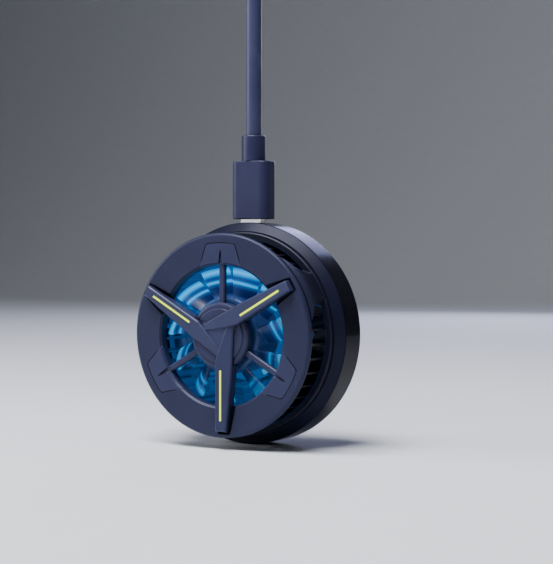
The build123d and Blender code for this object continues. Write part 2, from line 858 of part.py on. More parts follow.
def raised_blade():
    """Blade with its tilted top, its sloping nose and its bevelled edges."""
    solid = extrude(Pos(0, 0, blade_back) * blade_plan(), amount=blade_front - blade_back + overrun)
    far = blade_width * 2
    tilt_outline = Polyline(
        (-far, blade_front + blade_tilt_share * (far - blade_lead)),
        (far, blade_front - blade_tilt_share * (far + blade_lead)),
        (far, blade_front + far),
        (-far, blade_front + far),
        close=True,
    )
    plane = Plane(origin=(-blade_reach, 0, 0), x_dir=(0, 1, 0), z_dir=(1, 0, 0))
    solid -= extrude(plane * make_face(tilt_outline), amount=blade_reach * 3)
    nose_start = blade_reach - blade_nose_length
    nose_slope = blade_nose_drop / blade_nose_length
    nose_outline = Polyline(
        (nose_start - overrun, blade_front + nose_slope * overrun),
        (blade_reach + overrun, blade_front - nose_slope * (blade_nose_length + overrun)),
        (blade_reach + overrun, blade_front + nose_slope * overrun),
        close=True,
    )
    nose_plane = Plane(origin=(0, far, 0), x_dir=(1, 0, 0), z_dir=(0, -1, 0))
    solid -= extrude(nose_plane * make_face(nose_outline), amount=far * 2)
    top = max(solid.faces(), key=lambda face: face.area * face.normal_at().Z)
    solid = chamfer(top.edges(), blade_edge_chamfer)
    under_bezel = ring(
        blade_reach + overrun * 2, opening_radius - tab_gap, blade_back - overrun, tab_back
    )
    return solid - under_bezel


def accent_bar(grow, bottom, top):
    """Straight bar along a raised blade."""
    half = accent_width / 2 + grow
    return block(
        accent_start - grow, accent_end + grow, accent_offset - half, accent_offset + half, bottom, top
    )


accent_top = blade_front - blade_tilt_share * (accent_offset + blade_lead) + accent_stand
accent_bottom = accent_top - accent_stand - accent_sink
cap = cylinder(cap_centre_radius, hub_top, hub_top + cap_centre_height - hub_step_height)
cap += [spin(raised_blade(), angle) for angle in leg_angles]
cap -= cylinder(hub_radius + close_gap, blade_back - overrun, hub_top)
for angle in leg_angles:
    cap += rod_at(cap_pin_radius, cap_pin_tip, hub_top + close_gap, cap_pin_circle_radius, angle)
    cap -= spin(accent_bar(running_gap, accent_bottom, blade_front + overrun), angle)
save("pinwheel_cap", cap)
save("accent_strips", *[spin(accent_bar(0, accent_bottom, accent_top), angle) for angle in leg_angles])

# Motor mount: a plate screwed to the sink with the tube that carries the bearing and the stator
mount = cylinder(mount_radius, sink_floor, mount_front)
mount += cylinder(bearing_tube_radius, sink_floor, bearing_tube_front)
mount -= cylinder(bearing_bore_radius, mount_front, bearing_tube_front + overrun)
mount_screws = []
mount_screw_top = mount_front + mount_screw_head_height
for angle in mount_screw_angles:
    mount -= rod_at(
        mount_screw_radius + running_gap, sink_floor - overrun, mount_front + overrun,
        mount_screw_circle_radius, angle,
    )
    screw = rod_at(
        mount_screw_radius, sink_floor - mount_screw_reach, mount_front,
        mount_screw_circle_radius, angle,
    )
    screw += rod_at(
        mount_screw_head_radius, mount_front, mount_screw_top, mount_screw_circle_radius, angle
    )
    mount_screws.append(screw)
save("motor_mount", mount)
save("mount_screws", *mount_screws)

# Motor board with the lights behind the impeller
motor_board = ring(motor_board_radius, core_ring_inner, mount_front, motor_board_front)
for angle in mount_screw_angles:
    motor_board -= rod_at(
        mount_screw_head_radius + free_gap, mount_front - overrun, motor_board_front + overrun,
        mount_screw_circle_radius, angle,
    )
save("motor_board", motor_board)
light_half = light_chip_side / 2
light_chip = block(
    light_chip_circle_radius - light_half, light_chip_circle_radius + light_half,
    -light_half, light_half, motor_board_front, motor_board_front + light_chip_height,
)
save("light_chips", *[spin(light_chip, 360 / light_chip_count * i) for i in range(light_chip_count)])

# Bearing, shaft and the pad the shaft's end turns on
thrust_front = mount_front + thrust_pad_thickness
bearing_back = thrust_front + running_gap
save("thrust_pad", cylinder(bearing_radius, mount_front, thrust_front))
save(
    "bearing_sleeve",
    ring(
        bearing_radius, shaft_radius + running_gap, bearing_back, bearing_tube_front - bearing_drop
    ),
)
save("fan_shaft", cylinder(shaft_radius, bearing_back, shaft_front))

# Stator: stacked core with six wound poles
pole_angles = [360 / stator_pole_count * i for i in range(stator_pole_count)]
arm_length = stator_radius - core_ring_outer + stator_ring_wall / 2
arm = Pos(core_ring_outer - stator_ring_wall / 2 + arm_length / 2, 0) * Rectangle(
    arm_length, stator_arm_width
)
shoe_reach = stator_radius * 2
shoe_half = radians(stator_shoe_angle / 2)
shoe_wedge = make_face(Polyline(
    (0, 0),
    (shoe_reach * cos(shoe_half), -shoe_reach * sin(shoe_half)),
    (shoe_reach * cos(shoe_half), shoe_reach * sin(shoe_half)),
    close=True,
))
shoe = (Circle(stator_radius) - Circle(shoe_inner_radius)) & shoe_wedge
arm = arm & Circle(stator_radius - stator_shoe_thickness / 2)
core_plan = Circle(core_ring_outer) - Circle(core_ring_inner)
core_plan += [Rot(Z=angle) * (arm + shoe) for angle in pole_angles]
save("stator_core", extrude(Pos(0, 0, stator_back) * core_plan, amount=stator_height))

winding_plane = Plane(
    origin=(winding_inner_radius, 0, stator_back + stator_height / 2), x_dir=(0, 1, 0), z_dir=(1, 0, 0)
)
winding_hole_height = stator_height + running_gap * 2
winding_section = RectangleRounded(
    winding_half_width * 2, winding_hole_height + winding_build * 2, winding_build
) - Rectangle((winding_half_width - winding_build) * 2, winding_hole_height)
winding = extrude(winding_plane * winding_section, amount=winding_outer_radius - winding_inner_radius)
save("stator_windings", *[spin(winding, angle) for angle in pole_angles])

# Rotor: magnet and steel yoke inside the impeller's cup
yoke_disc_back = cup_ceiling - yoke_wall
yoke = ring(yoke_radius, yoke_radius - yoke_wall, impeller_back, cup_ceiling)
yoke += ring(yoke_radius, impeller_boss_radius + running_gap, yoke_disc_back, cup_ceiling)
save("rotor_yoke", yoke)
save(
    "rotor_magnet",
    ring(
        rotor_magnet_radius, stator_radius + rotor_magnet_gap, rotor_magnet_back,
        rotor_magnet_back + rotor_magnet_height,
    ),
)

# Impeller: cup with a boss for the shaft and twisted, cambered, swept blades
cup_edge = impeller_hub_radius - impeller_edge_round
cup_outline = Polyline(
    (cup_edge, impeller_front),
    (0, impeller_front),
    (0, cup_ceiling - impeller_boss_height),
    (impeller_boss_radius, cup_ceiling - impeller_boss_height),
    (impeller_boss_radius, cup_ceiling),
    (cup_inner_radius, cup_ceiling),
    (cup_inner_radius, impeller_back),
    (impeller_hub_radius, impeller_back),
    (impeller_hub_radius, impeller_front - impeller_edge_round),
)
cup_rim = RadiusArc(
    (impeller_hub_radius, impeller_front - impeller_edge_round), (cup_edge, impeller_front),
    -impeller_edge_round,
)
cup = revolve(make_face([Plane.XZ * cup_outline, Plane.XZ * cup_rim]), Axis.Z)
cup -= cylinder(shaft_radius + running_gap, cup_ceiling - impeller_boss_height - overrun, shaft_front)


def fan_blade_section(distance, chord, pitch, sweep):
    """Cambered blade section on a plane across the blade, leading edge towards +y and the front."""
    plane = Plane(origin=(distance, sweep, fan_blade_centre), x_dir=(0, 1, 0), z_dir=(1, 0, 0))
    half = chord / 2
    thick = fan_blade_thickness / 2
    upper = ThreePointArc((-half, thick), (0, fan_blade_camber + thick), (half, thick))
    lower = ThreePointArc((half, -thick), (0, fan_blade_camber - thick), (-half, -thick))
    ends = [Line((half, thick), (half, -thick)), Line((-half, -thick), (-half, thick))]
    return plane * (Rot(Z=pitch) * make_face([upper, lower, *ends]))


root_distance = cup_inner_radius + impeller_wall / 4
tip_distance = blade_tip_radius + overrun
blade_loft = loft([
    fan_blade_section(root_distance, fan_blade_root_chord, fan_blade_root_pitch, 0),
    fan_blade_section(tip_distance, fan_blade_tip_chord, fan_blade_tip_pitch, fan_blade_sweep),
])
blade_space = ring(blade_tip_radius, cup_inner_radius + impeller_wall / 2, impeller_back, impeller_front)
fan_blade = blade_loft & blade_space
impeller = cup
impeller += [spin(fan_blade, 360 / fan_blade_count * i) for i in range(fan_blade_count)]
save("impeller", impeller)

# Leads from the motor board, out between two fins and down through the sink to the control board
lead_depth = mount_front + fan_lead_radius
fan_leads = []
for angle in fan_lead_angles:
    bend_start = fan_lead_drop_radius - fan_lead_bend
    path = Plane.XZ * Polyline((motor_board_radius, lead_depth), (bend_start, lead_depth))
    corner = Plane.XZ * RadiusArc(
        (bend_start, lead_depth), (fan_lead_drop_radius, lead_depth - fan_lead_bend), fan_lead_bend
    )
    drop = Plane.XZ * Line(
        (fan_lead_drop_radius, lead_depth - fan_lead_bend), (fan_lead_drop_radius, board_front)
    )
    start_plane = Plane(origin=(motor_board_radius, 0, lead_depth), x_dir=(0, 1, 0), z_dir=(1, 0, 0))
    lead = sweep(start_plane * Circle(fan_lead_radius), path=path + corner + drop)
    fan_leads.append(spin(lead, angle))
save("fan_leads", *fan_leads)

# Control board beside the port, its insulator and its chips
board = sector(
    board_outer_radius, board_inner_radius, board_back, board_front,
    board_start_angle, board_end_angle,
)
save(
    "board_insulator",
    sector(
        magnet_outer_radius, magnet_inner_radius, shunt_front, board_back,
        board_start_angle, board_end_angle,
    ),
)
board -= block(
    -port_width / 2 - close_gap, port_width / 2 + close_gap,
    port_back - close_gap, board_outer_radius + overrun,
    board_back - overrun, board_front + overrun,
)
save("control_board", board)
chips = []
for side, gap, inset, (length, width) in zip(chip_sides, chip_port_gaps, chip_insets, chip_sizes):
    distance = board_inner_radius + inset
    angle = 90 - side * degrees(asin((port_width / 2 + port_foot_reach + gap) / distance))
    chip = block(
        distance - width / 2, distance + width / 2, -length / 2, length / 2,
        board_front, board_front + chip_height,
    )
    chips.append(spin(chip, angle))
save("board_chips", *chips)
module_lead_start = half_side - pellet_margin + close_gap * 2
module_lead_end = sqrt(board_inner_radius ** 2 - module_lead_offset ** 2) - close_gap
lead_axis = board_front - module_lead_radius
save("module_leads", *[
    Pos(side * module_lead_offset, 0, lead_axis - port_depth) * upright_rod(
        module_lead_radius, module_lead_start, module_lead_end
    )
    for side in (-1, 1)
])

# USB-C port: folded shell with feet on the board and the tongue inside
port_shell = slot_block(port_width, port_height, port_back, port_mouth)
foot_start = port_width / 2 - port_wall * 2
foot_end = port_width / 2 + port_foot_reach
for side in (-1, 1):
    for share in port_foot_shares:
        middle = port_back + (port_mouth - port_back) * share
        x0, x1 = sorted((side * foot_start, side * foot_end))
        port_shell += block(
            x0, x1, middle - port_foot_length / 2, middle + port_foot_length / 2,
            board_front, board_front + port_foot_thickness,
        )
port_shell -= slot_block(
    port_width - 2 * port_wall, port_height - 2 * port_wall, tongue_back, port_mouth + overrun
)
save("usb_port_shell", port_shell)
save(
    "usb_port_tongue",
    block(
        -half_tongue, half_tongue, tongue_back, tongue_front,
        port_depth - tongue_thickness / 2, port_depth + tongue_thickness / 2,
    ),
)

# USB-C plug
plug_shell = slot_block(plug_width, plug_height, plug_tip, grip_bottom)
plug_shell -= slot_block(
    plug_width - 2 * plug_wall, plug_height - 2 * plug_wall, plug_tip - overrun, plug_hollow_end
)
save("plug_shell", plug_shell)


def grip(width, depth, corner, start, end):
    """Moulded grip with its two end edges rounded."""
    body = upright_bar(width, depth, corner, start, end)
    ends = body.faces().sort_by(Axis.Y)
    return fillet([*ends[0].edges(), *ends[-1].edges()], grip_edge_round)


save("plug_overmould", grip(grip_width, grip_depth, grip_corner_radius, grip_bottom, grip_top))
relief = upright_rod(relief_radius, grip_top, relief_top)
save("plug_strain_relief", fillet(relief.faces().sort_by(Axis.Y)[-1].edges(), relief_edge_round))

# Cable held straight up, and the plug on its far end beyond the picture
save("cable", upright_rod(cable_radius, relief_top, cable_top))
far_relief = upright_rod(far_relief_radius, cable_top, far_relief_top)
save("usb_a_strain_relief", fillet(far_relief.faces().sort_by(Axis.Y)[0].edges(), relief_edge_round))
save(
    "usb_a_overmould",
    grip(far_grip_width, far_grip_depth, far_grip_corner_radius, far_relief_top, far_grip_top),
)


def far_bar(width, depth, start, end):
    """Plain rectangular bar of the far plug."""
    plane = Plane(origin=(0, start, port_depth), x_dir=(1, 0, 0), z_dir=(0, 1, 0))
    return extrude(plane * Rectangle(width, depth), amount=end - start)


far_shell = far_bar(far_shell_width, far_shell_height, far_grip_top, far_shell_top)
far_shell -= far_bar(
    far_shell_width - 2 * far_shell_wall, far_shell_height - 2 * far_shell_wall,
    far_grip_top - overrun, far_shell_top + overrun,
)
save("usb_a_shell", far_shell)
tongue_rise = (far_shell_height - far_tongue_thickness) / 2 - far_shell_wall - running_gap
save(
    "usb_a_tongue",
    Pos(0, 0, -tongue_rise)
    * far_bar(far_tongue_width, far_tongue_thickness, far_grip_top, far_tongue_top),
)
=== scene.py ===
import math

import bmesh
import bpy
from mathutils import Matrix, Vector


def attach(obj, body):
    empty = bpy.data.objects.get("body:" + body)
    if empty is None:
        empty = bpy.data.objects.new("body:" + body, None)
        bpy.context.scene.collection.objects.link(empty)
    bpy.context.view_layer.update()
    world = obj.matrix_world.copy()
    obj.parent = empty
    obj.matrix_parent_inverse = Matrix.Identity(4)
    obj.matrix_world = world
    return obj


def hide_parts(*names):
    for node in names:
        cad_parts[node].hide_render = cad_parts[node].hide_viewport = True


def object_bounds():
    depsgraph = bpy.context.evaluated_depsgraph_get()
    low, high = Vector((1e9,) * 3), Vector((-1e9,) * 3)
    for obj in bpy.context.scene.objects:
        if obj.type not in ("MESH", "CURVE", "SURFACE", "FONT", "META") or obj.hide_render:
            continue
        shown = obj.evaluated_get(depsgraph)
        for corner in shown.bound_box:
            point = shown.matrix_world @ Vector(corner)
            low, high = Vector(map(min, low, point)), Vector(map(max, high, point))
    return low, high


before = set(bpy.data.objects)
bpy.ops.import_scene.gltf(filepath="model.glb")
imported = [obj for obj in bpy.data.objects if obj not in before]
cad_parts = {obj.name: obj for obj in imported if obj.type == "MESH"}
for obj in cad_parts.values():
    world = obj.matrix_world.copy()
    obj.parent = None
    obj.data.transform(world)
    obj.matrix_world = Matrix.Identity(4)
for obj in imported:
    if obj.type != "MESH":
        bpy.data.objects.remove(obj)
cad_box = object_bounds()

bl_info = {
    "name": "Phone cooling fan",
    "version": (1, 0, 0),
    "blender": (4, 5, 0),
    "location": "View3D > Sidebar > Cooling fan",
    "description": "Finishes, cable and stage for a magnetic phone cooling fan",
    "category": "Object",
}

# The cable's route as in the part's source, in metres
CABLE_ROUTE = ((0, -0.0061, 0.055), (0, -0.0061, 0.070), (0, -0.0061, 0.085), (0, -0.0061, 0.100))
FLOOR_HEIGHT = cad_box[0].z - 0.0002
STRIP_OFFSET = 0.00125    # from the line through the fan's axis to the middle of a bright strip
JOINT_ZONE = (0.0208, 0.0283)    # between these radii the cover's edges are joints with the tabs
LEG_DEPTHS = (0.0170, 0.0205)    # painted shade on the legs fades out from their middle to the back of the bezel
DARK_TINT = (0.72, 0.76, 1.0, 1.0)    # tint of the shine on the dark plastics
CAMERA_PLACE = (0.234567, -0.401460, 0.025445)
CAMERA_TURN = (math.pi / 2 - 0.024494, -0.001445, 0.521546)


# ---------------------------------------------------------------- sizes and colours


class FanSizes(bpy.types.PropertyGroup):
    """Sizes of the fine detail."""

    cable_diameter: bpy.props.FloatProperty(
        name="Cable diameter", description="Outside diameter of the cable's jacket",
        default=0.0043, unit="LENGTH",
    )
    grain_size: bpy.props.FloatProperty(
        name="Mould grain", description="Size of the fine grain of the moulded pieces",
        default=0.00011, unit="LENGTH",
    )
    edge_radius: bpy.props.FloatProperty(
        name="Edge radius", description="How far the moulded edges are softened",
        default=0.00016, unit="LENGTH",
    )
    groove_pitch: bpy.props.FloatProperty(
        name="Turned grooves", description="Pitch of the fine grooves of turned metal",
        default=0.00016, unit="LENGTH",
    )
    sheet_pitch: bpy.props.FloatProperty(
        name="Core sheet", description="Thickness of one sheet of the stator's core",
        default=0.00035, unit="LENGTH",
    )
    wire_pitch: bpy.props.FloatProperty(
        name="Winding wire", description="Thickness of the wire on the stator's poles",
        default=0.00026, unit="LENGTH",
    )


class FanColours(bpy.types.PropertyGroup):
    """Colours of the main pieces."""

    cover: bpy.props.FloatVectorProperty(
        name="Cover", description="Front cover, grille and pinwheel",
        default=(0.0140, 0.0160, 0.0410), subtype="COLOR", size=3, min=0, max=1,
    )
    housing: bpy.props.FloatVectorProperty(
        name="Housing", description="Matte ring between the cover and the base",
        default=(0.007, 0.008, 0.020), subtype="COLOR", size=3, min=0, max=1,
    )
    shell: bpy.props.FloatVectorProperty(
        name="Base", description="Glossy base shell",
        default=(0.003, 0.003, 0.007), subtype="COLOR", size=3, min=0, max=1,
    )
    accent: bpy.props.FloatVectorProperty(
        name="Accent strips", description="Bright strips in the raised blades",
        default=(0.80, 0.98, 0.020), subtype="COLOR", size=3, min=0, max=1,
    )
    plug: bpy.props.FloatVectorProperty(
        name="Plugs", description="Moulded bodies of the two plugs",
        default=(0.018, 0.0195, 0.056), subtype="COLOR", size=3, min=0, max=1,
    )
    cable: bpy.props.FloatVectorProperty(
        name="Cable", description="Jacket of the cable",
        default=(0.032, 0.035, 0.085), subtype="COLOR", size=3, min=0, max=1,
    )
    glow: bpy.props.FloatVectorProperty(
        name="Glow", description="Tint of the light on the impeller",
        default=(0.55, 0.9, 1.0), subtype="COLOR", size=3, min=0, max=1,
    )


class StageSettings(bpy.types.PropertyGroup):
    """Camera, lights and floor."""

    focal_length: bpy.props.FloatProperty(
        name="Focal length", description="Focal length of the camera",
        default=104.92, unit="CAMERA",
    )
    key_power: bpy.props.FloatProperty(
        name="Top light", description="Power of the soft light overhead", default=9.5,
        unit="POWER",
    )
    back_power: bpy.props.FloatProperty(
        name="Back light", description="Power of the soft light high behind", default=1.6,
        unit="POWER",
    )
    fill_power: bpy.props.FloatProperty(
        name="Front light", description="Power of the soft light in front", default=2.4,
        unit="POWER",
    )
    side_power: bpy.props.FloatProperty(
        name="Left light", description="Power of the soft light on the left", default=4.5,
        unit="POWER",
    )
    edge_power: bpy.props.FloatProperty(
        name="Edge light", description="Power of the small light low behind",
        default=0.9, unit="POWER",
    )
    plug_power: bpy.props.FloatProperty(
        name="Plug light", description="Power of the small card mirrored in the plug's metal",
        default=0.09, unit="POWER",
    )
    floor_colour: bpy.props.FloatVectorProperty(
        name="Floor", description="Colour of the floor and the backdrop",
        default=(0.58, 0.60, 0.645), subtype="COLOR", size=3, min=0, max=1,
    )


# ---------------------------------------------------------------- small helpers for shader trees


def put(tree, kind, inputs=None, **settings):
    """Add a node, set its properties, and set or link its inputs."""
    node = tree.nodes.new(kind)
    for name, value in settings.items():
        setattr(node, name, value)
    for name, value in (inputs or {}).items():
        if isinstance(value, bpy.types.NodeSocket):
            tree.links.new(value, node.inputs[name])
        else:
            node.inputs[name].default_value = value
    return node


def calc(tree, operation, *values):
    """Add a math node and return its result."""
    return put(tree, "ShaderNodeMath", dict(enumerate(values)), operation=operation).outputs[0]


def spread(tree, value, low, high, to_low=0.0, to_high=1.0, smooth=True):
    """Map a value from one range to another, held at the ends."""
    inputs = {"Value": value, 1: low, 2: high, 3: to_low, 4: to_high}
    kind = "SMOOTHSTEP" if smooth else "LINEAR"
    return put(tree, "ShaderNodeMapRange", inputs, interpolation_type=kind, clamp=True).outputs[0]


def blend_colours(tree, share, first, second, mode="MIX"):
    """Mix two colours by a share."""
    node = put(tree, "ShaderNodeMix", data_type="RGBA", blend_type=mode, clamp_factor=True)
    for index, value in ((0, share), (6, first), (7, second)):
        socket = node.inputs[index]
        if isinstance(value, bpy.types.NodeSocket):
            tree.links.new(value, socket)
        elif index == 0:
            socket.default_value = value
        else:
            socket.default_value = (*value[:3], 1.0)
    return node.outputs[2]


def ramp(tree, value, stops):
    """Colour ramp from a list of (position, colour)."""
    node = put(tree, "ShaderNodeValToRGB", {"Fac": value})
    elements = node.color_ramp.elements
    while len(elements) < len(stops):
        elements.new(1.0)
    for element, (position, colour) in zip(elements, stops):
        element.position = position
        element.color = (*colour, 1.0)
    return node.outputs["Color"]


def scaled(colour, share):
    """Colour times a share."""
    return [c * share for c in colour]


def lifted(colour, share, lift):
    """Colour times a share plus a little grey, no brighter than white."""
    return [min(1.0, c * share + lift) for c in colour]


def object_point(tree):
    """Place on the piece, in metres."""
    return put(tree, "ShaderNodeTexCoord").outputs["Object"]


def new_group(name, inputs, outputs):
    """Empty node group with named sockets; returns the group, its input and its output node."""
    group = bpy.data.node_groups.new(name, "ShaderNodeTree")
    for label, kind, default in inputs:
        socket = group.interface.new_socket(label, in_out="INPUT", socket_type="NodeSocket" + kind)
        if default is not None:
            socket.default_value = default
    for label, kind in outputs:
        group.interface.new_socket(label, in_out="OUTPUT", socket_type="NodeSocket" + kind)
    return group, group.nodes.new("NodeGroupInput"), group.nodes.new("NodeGroupOutput")


def send(group, output, **sockets):
    """Link results to the group's outputs; underscores stand for spaces."""
    for name, socket in sockets.items():
        group.links.new(socket, output.inputs[name.replace("_", " ")])


def use(tree, maker, **inputs):
    """Place a shared effect in a tree, built on first use; underscores stand for spaces."""
    name = maker.__doc__.split(":")[0]
    group = bpy.data.node_groups.get(name) or maker(name)
    node = tree.nodes.new("ShaderNodeGroup")
    node.node_tree = group
    for key, value in inputs.items():
        socket = node.inputs[key.replace("_", " ")]
        if isinstance(value, bpy.types.NodeSocket):
            tree.links.new(value, socket)
        else:
            socket.default_value = value
    return node


# ---------------------------------------------------------------- shared effects


def mould_grain(name):
    """Mould grain: fine surface grain of moulded plastic, with slow mottling of its colour."""
    group, given, out = new_group(
        name, [("Size", "Float", 0.0001)], [("Grain", "Float"), ("Mottle", "Float")]
    )
    point = object_point(group)
    scale = calc(group, "DIVIDE", 1.0, given.outputs["Size"])
    fine = put(group, "ShaderNodeTexNoise", {
        "Vector": point, "Scale": scale, "Detail": 3.0, "Roughness": 0.6,
    }).outputs["Fac"]
    cells = put(group, "ShaderNodeTexVoronoi", {
        "Vector": point, "Scale": calc(group, "MULTIPLY", scale, 0.55),
    }, feature="SMOOTH_F1").outputs["Distance"]
    slow = put(group, "ShaderNodeTexNoise", {
        "Vector": point, "Scale": 95.0, "Detail": 4.0, "Roughness": 0.55,
    }).outputs["Fac"]
    grain = calc(group, "ADD", calc(group, "MULTIPLY", fine, 0.65),
                 calc(group, "MULTIPLY", cells, 0.45))
    send(group, out, Grain=grain, Mottle=spread(group, slow, 0.3, 0.7))
    return group


def handling_marks(name):
    """Handling marks: soft smudges and a few hair scratches."""
    group, given, out = new_group(
        name, [("Spread", "Float", 70.0)], [("Smudges", "Float"), ("Scratches", "Float")]
    )
    point = object_point(group)
    cloud = put(group, "ShaderNodeTexNoise", {
        "Vector": point, "Scale": given.outputs["Spread"], "Detail": 5.0, "Roughness": 0.6,
        "Distortion": 0.8,
    }).outputs["Fac"]
    lines = []
    for turn, seed in ((0.7, 3.0), (2.1, 9.0)):
        turned = put(group, "ShaderNodeMapping", {
            "Vector": point, "Rotation": (seed, turn, turn * 0.6), "Scale": (2600.0, 60.0, 60.0),
            "Location": (seed, seed * 0.3, 0.0),
        }).outputs[0]
        streak = put(group, "ShaderNodeTexNoise", {
            "Vector": turned, "Scale": 1.0, "Detail": 1.0,
        }).outputs["Fac"]
        lines.append(spread(group, streak, 0.70, 0.76))
    marks = calc(group, "MAXIMUM", lines[0], lines[1])
    patches = spread(group, cloud, 0.52, 0.66)
    send(group, out, Smudges=spread(group, cloud, 0.38, 0.68),
         Scratches=calc(group, "MULTIPLY", marks, patches))
    return group


def soft_edges(name):
    """Soft edges: rounded normal along sharp edges, and where those edges are."""
    group, given, out = new_group(
        name, [("Radius", "Float", 0.00015)], [("Normal", "Vector"), ("Edge", "Float")]
    )
    rounded = put(group, "ShaderNodeBevel", {"Radius": given.outputs["Radius"]}, samples=6)
    flat = put(group, "ShaderNodeNewGeometry").outputs["Normal"]
    turn = put(group, "ShaderNodeVectorMath", {0: rounded.outputs[0], 1: flat},
               operation="DOT_PRODUCT").outputs["Value"]
    edge = spread(group, calc(group, "SUBTRACT", 1.0, turn), 0.02, 0.28)
    send(group, out, Normal=rounded.outputs[0], Edge=edge)
    return group


def crevices(name):
    """Crevices: how open the surface is, low in corners and under overlapping pieces."""
    group, given, out = new_group(name, [("Distance", "Float", 0.0015)], [("Open", "Float")])
    shade = put(group, "ShaderNodeAmbientOcclusion", {"Distance": given.outputs["Distance"]},
                samples=6).outputs["AO"]
    send(group, out, Open=spread(group, shade, 0.35, 0.95))
    return group


def fan_radius(name):
    """Fan radius: distance from the fan's axis, angle round it and depth along it."""
    group, _, out = new_group(
        name, [], [("Radius", "Float"), ("Angle", "Float"), ("Depth", "Float")]
    )
    parts = put(group, "ShaderNodeSeparateXYZ", {0: object_point(group)}).outputs
    squares = calc(group, "ADD", calc(group, "MULTIPLY", parts["X"], parts["X"]),
                   calc(group, "MULTIPLY", parts["Z"], parts["Z"]))
    send(group, out, Radius=calc(group, "SQRT", squares),
         Angle=calc(group, "ARCTAN2", parts["Z"], parts["X"]),
         Depth=calc(group, "MULTIPLY", parts["Y"], -1.0))
    return group


def ribs(name):
    """Ribs: even rounded ribs along any value, such as turns of wire or stacked sheets."""
    group, given, out = new_group(
        name, [("Along", "Float", 0.0), ("Pitch", "Float", 0.0003)], [("Height", "Float")]
    )
    turns = calc(group, "DIVIDE", given.outputs["Along"], given.outputs["Pitch"])
    wave = calc(group, "ABSOLUTE", calc(group, "SINE", calc(group, "MULTIPLY", turns, math.pi)))
    send(group, out, Height=wave)
    return group


def brushed_lines(name):
    """Brushed lines: long fine lines in one direction of the piece."""
    group, given, out = new_group(
        name, [("Stretch", "Vector", (60.0, 60.0, 6000.0))], [("Lines", "Float")]
    )
    stretched = put(group, "ShaderNodeVectorMath", {
        0: object_point(group), 1: given.outputs["Stretch"],
    }, operation="MULTIPLY").outputs[0]
    lines = put(group, "ShaderNodeTexNoise", {
        "Vector": stretched, "Scale": 1.0, "Detail": 2.0,
    }).outputs["Fac"]
    send(group, out, Lines=lines)
    return group


def ring_glow(name):
    """Ring glow: rings of light round the fan's axis, streaked along their own direction."""
    group, given, out = new_group(
        name, [("Tint", "Color", (1, 1, 1, 1)), ("Evenness", "Float", 0.4)],
        [("Glow", "Color"), ("Mask", "Float")],
    )
    place = use(group, fan_radius).outputs
    share = spread(group, place["Radius"], 0.009, 0.0235, smooth=False)
    rings = ramp(group, share, (
        (0.000, (0.003, 0.006, 0.025)),
        (0.062, (0.020, 0.027, 0.085)),
        (0.121, (0.030, 0.043, 0.125)),
        (0.172, (0.001, 0.004, 0.027)),
        (0.290, (0.000, 0.007, 0.050)),
        (0.352, (0.000, 0.060, 0.200)),
        (0.397, (0.000, 0.450, 0.950)),
        (0.438, (0.000, 0.080, 0.270)),
        (0.479, (0.000, 0.025, 0.120)),
        (0.524, (0.000, 0.170, 0.450)),
        (0.590, (0.010, 0.520, 1.000)),
        (0.648, (0.000, 0.200, 0.520)),
        (0.695, (0.000, 0.055, 0.200)),
        (0.793, (0.000, 0.030, 0.120)),
        (1.000, (0.000, 0.020, 0.090)),
    ))
    streak_point = put(group, "ShaderNodeCombineXYZ", {
        0: calc(group, "MULTIPLY", place["Radius"], 420.0),
        1: calc(group, "MULTIPLY", calc(group, "COSINE", place["Angle"]), 1.1),
        2: calc(group, "MULTIPLY", calc(group, "SINE", place["Angle"]), 1.1),
    }).outputs[0]
    streaks = put(group, "ShaderNodeTexNoise", {
        "Vector": streak_point, "Scale": 1.6, "Detail": 3.0, "Roughness": 0.55,
        "Distortion": 0.25,
    }).outputs["Fac"]
    # Painted light: the rings are brighter towards the upper left, as if more light fell there.
    lean = calc(group, "COSINE", calc(group, "SUBTRACT", place["Angle"], 1.95))
    top = spread(group, lean, -0.75, 0.75, given.outputs["Evenness"], 1.0)
    streak_light = spread(group, streaks, 0.34, 0.62, 0.35, 1.0)
    light = calc(group, "MULTIPLY", top, calc(group, "MAXIMUM", streak_light,
                 spread(group, lean, 0.2, 0.8, 0.0, 1.0)))
    tinted = blend_colours(group, 1.0, rings, given.outputs["Tint"], "MULTIPLY")
    glow = blend_colours(group, light, (0, 0, 0), tinted)
    send(group, out, Glow=glow, Mask=light)
    return group


def split_by_plane(name):
    """Two sides: which side of a plane through the fan's axis a point is on."""
    group, given, out = new_group(name, [("Turn", "Float", 0.0)], [("Side", "Float")])
    parts = put(group, "ShaderNodeSeparateXYZ", {0: object_point(group)}).outputs
    turn = given.outputs["Turn"]
    across = calc(
        group, "SUBTRACT",
        calc(group, "MULTIPLY", parts["X"], calc(group, "SINE", turn)),
        calc(group, "MULTIPLY", parts["Z"], calc(group, "COSINE", turn)),
    )
    send(group, out, Side=calc(group, "GREATER_THAN", across, 0.0))
    return group


def contact_strips(name):
    """Contact strips: plated contacts side by side on a connector's tongue."""
    group, given, out = new_group(
        name, [("Pitch", "Float", 0.0005), ("Half span", "Float", 0.003)], [("Contact", "Float")]
    )
    parts = put(group, "ShaderNodeSeparateXYZ", {0: object_point(group)}).outputs
    cell = calc(group, "FRACT", calc(
        group, "ADD", calc(group, "DIVIDE", parts["X"], given.outputs["Pitch"]), 100.0))
    strip = spread(group, calc(group, "ABSOLUTE", calc(group, "SUBTRACT", cell, 0.5)),
                   0.27, 0.30, 1.0, 0.0)
    inside = calc(group, "LESS_THAN", calc(group, "ABSOLUTE", parts["X"]),
                  given.outputs["Half span"])
    send(group, out, Contact=calc(group, "MULTIPLY", strip, inside))
    return group


# ---------------------------------------------------------------- finishes


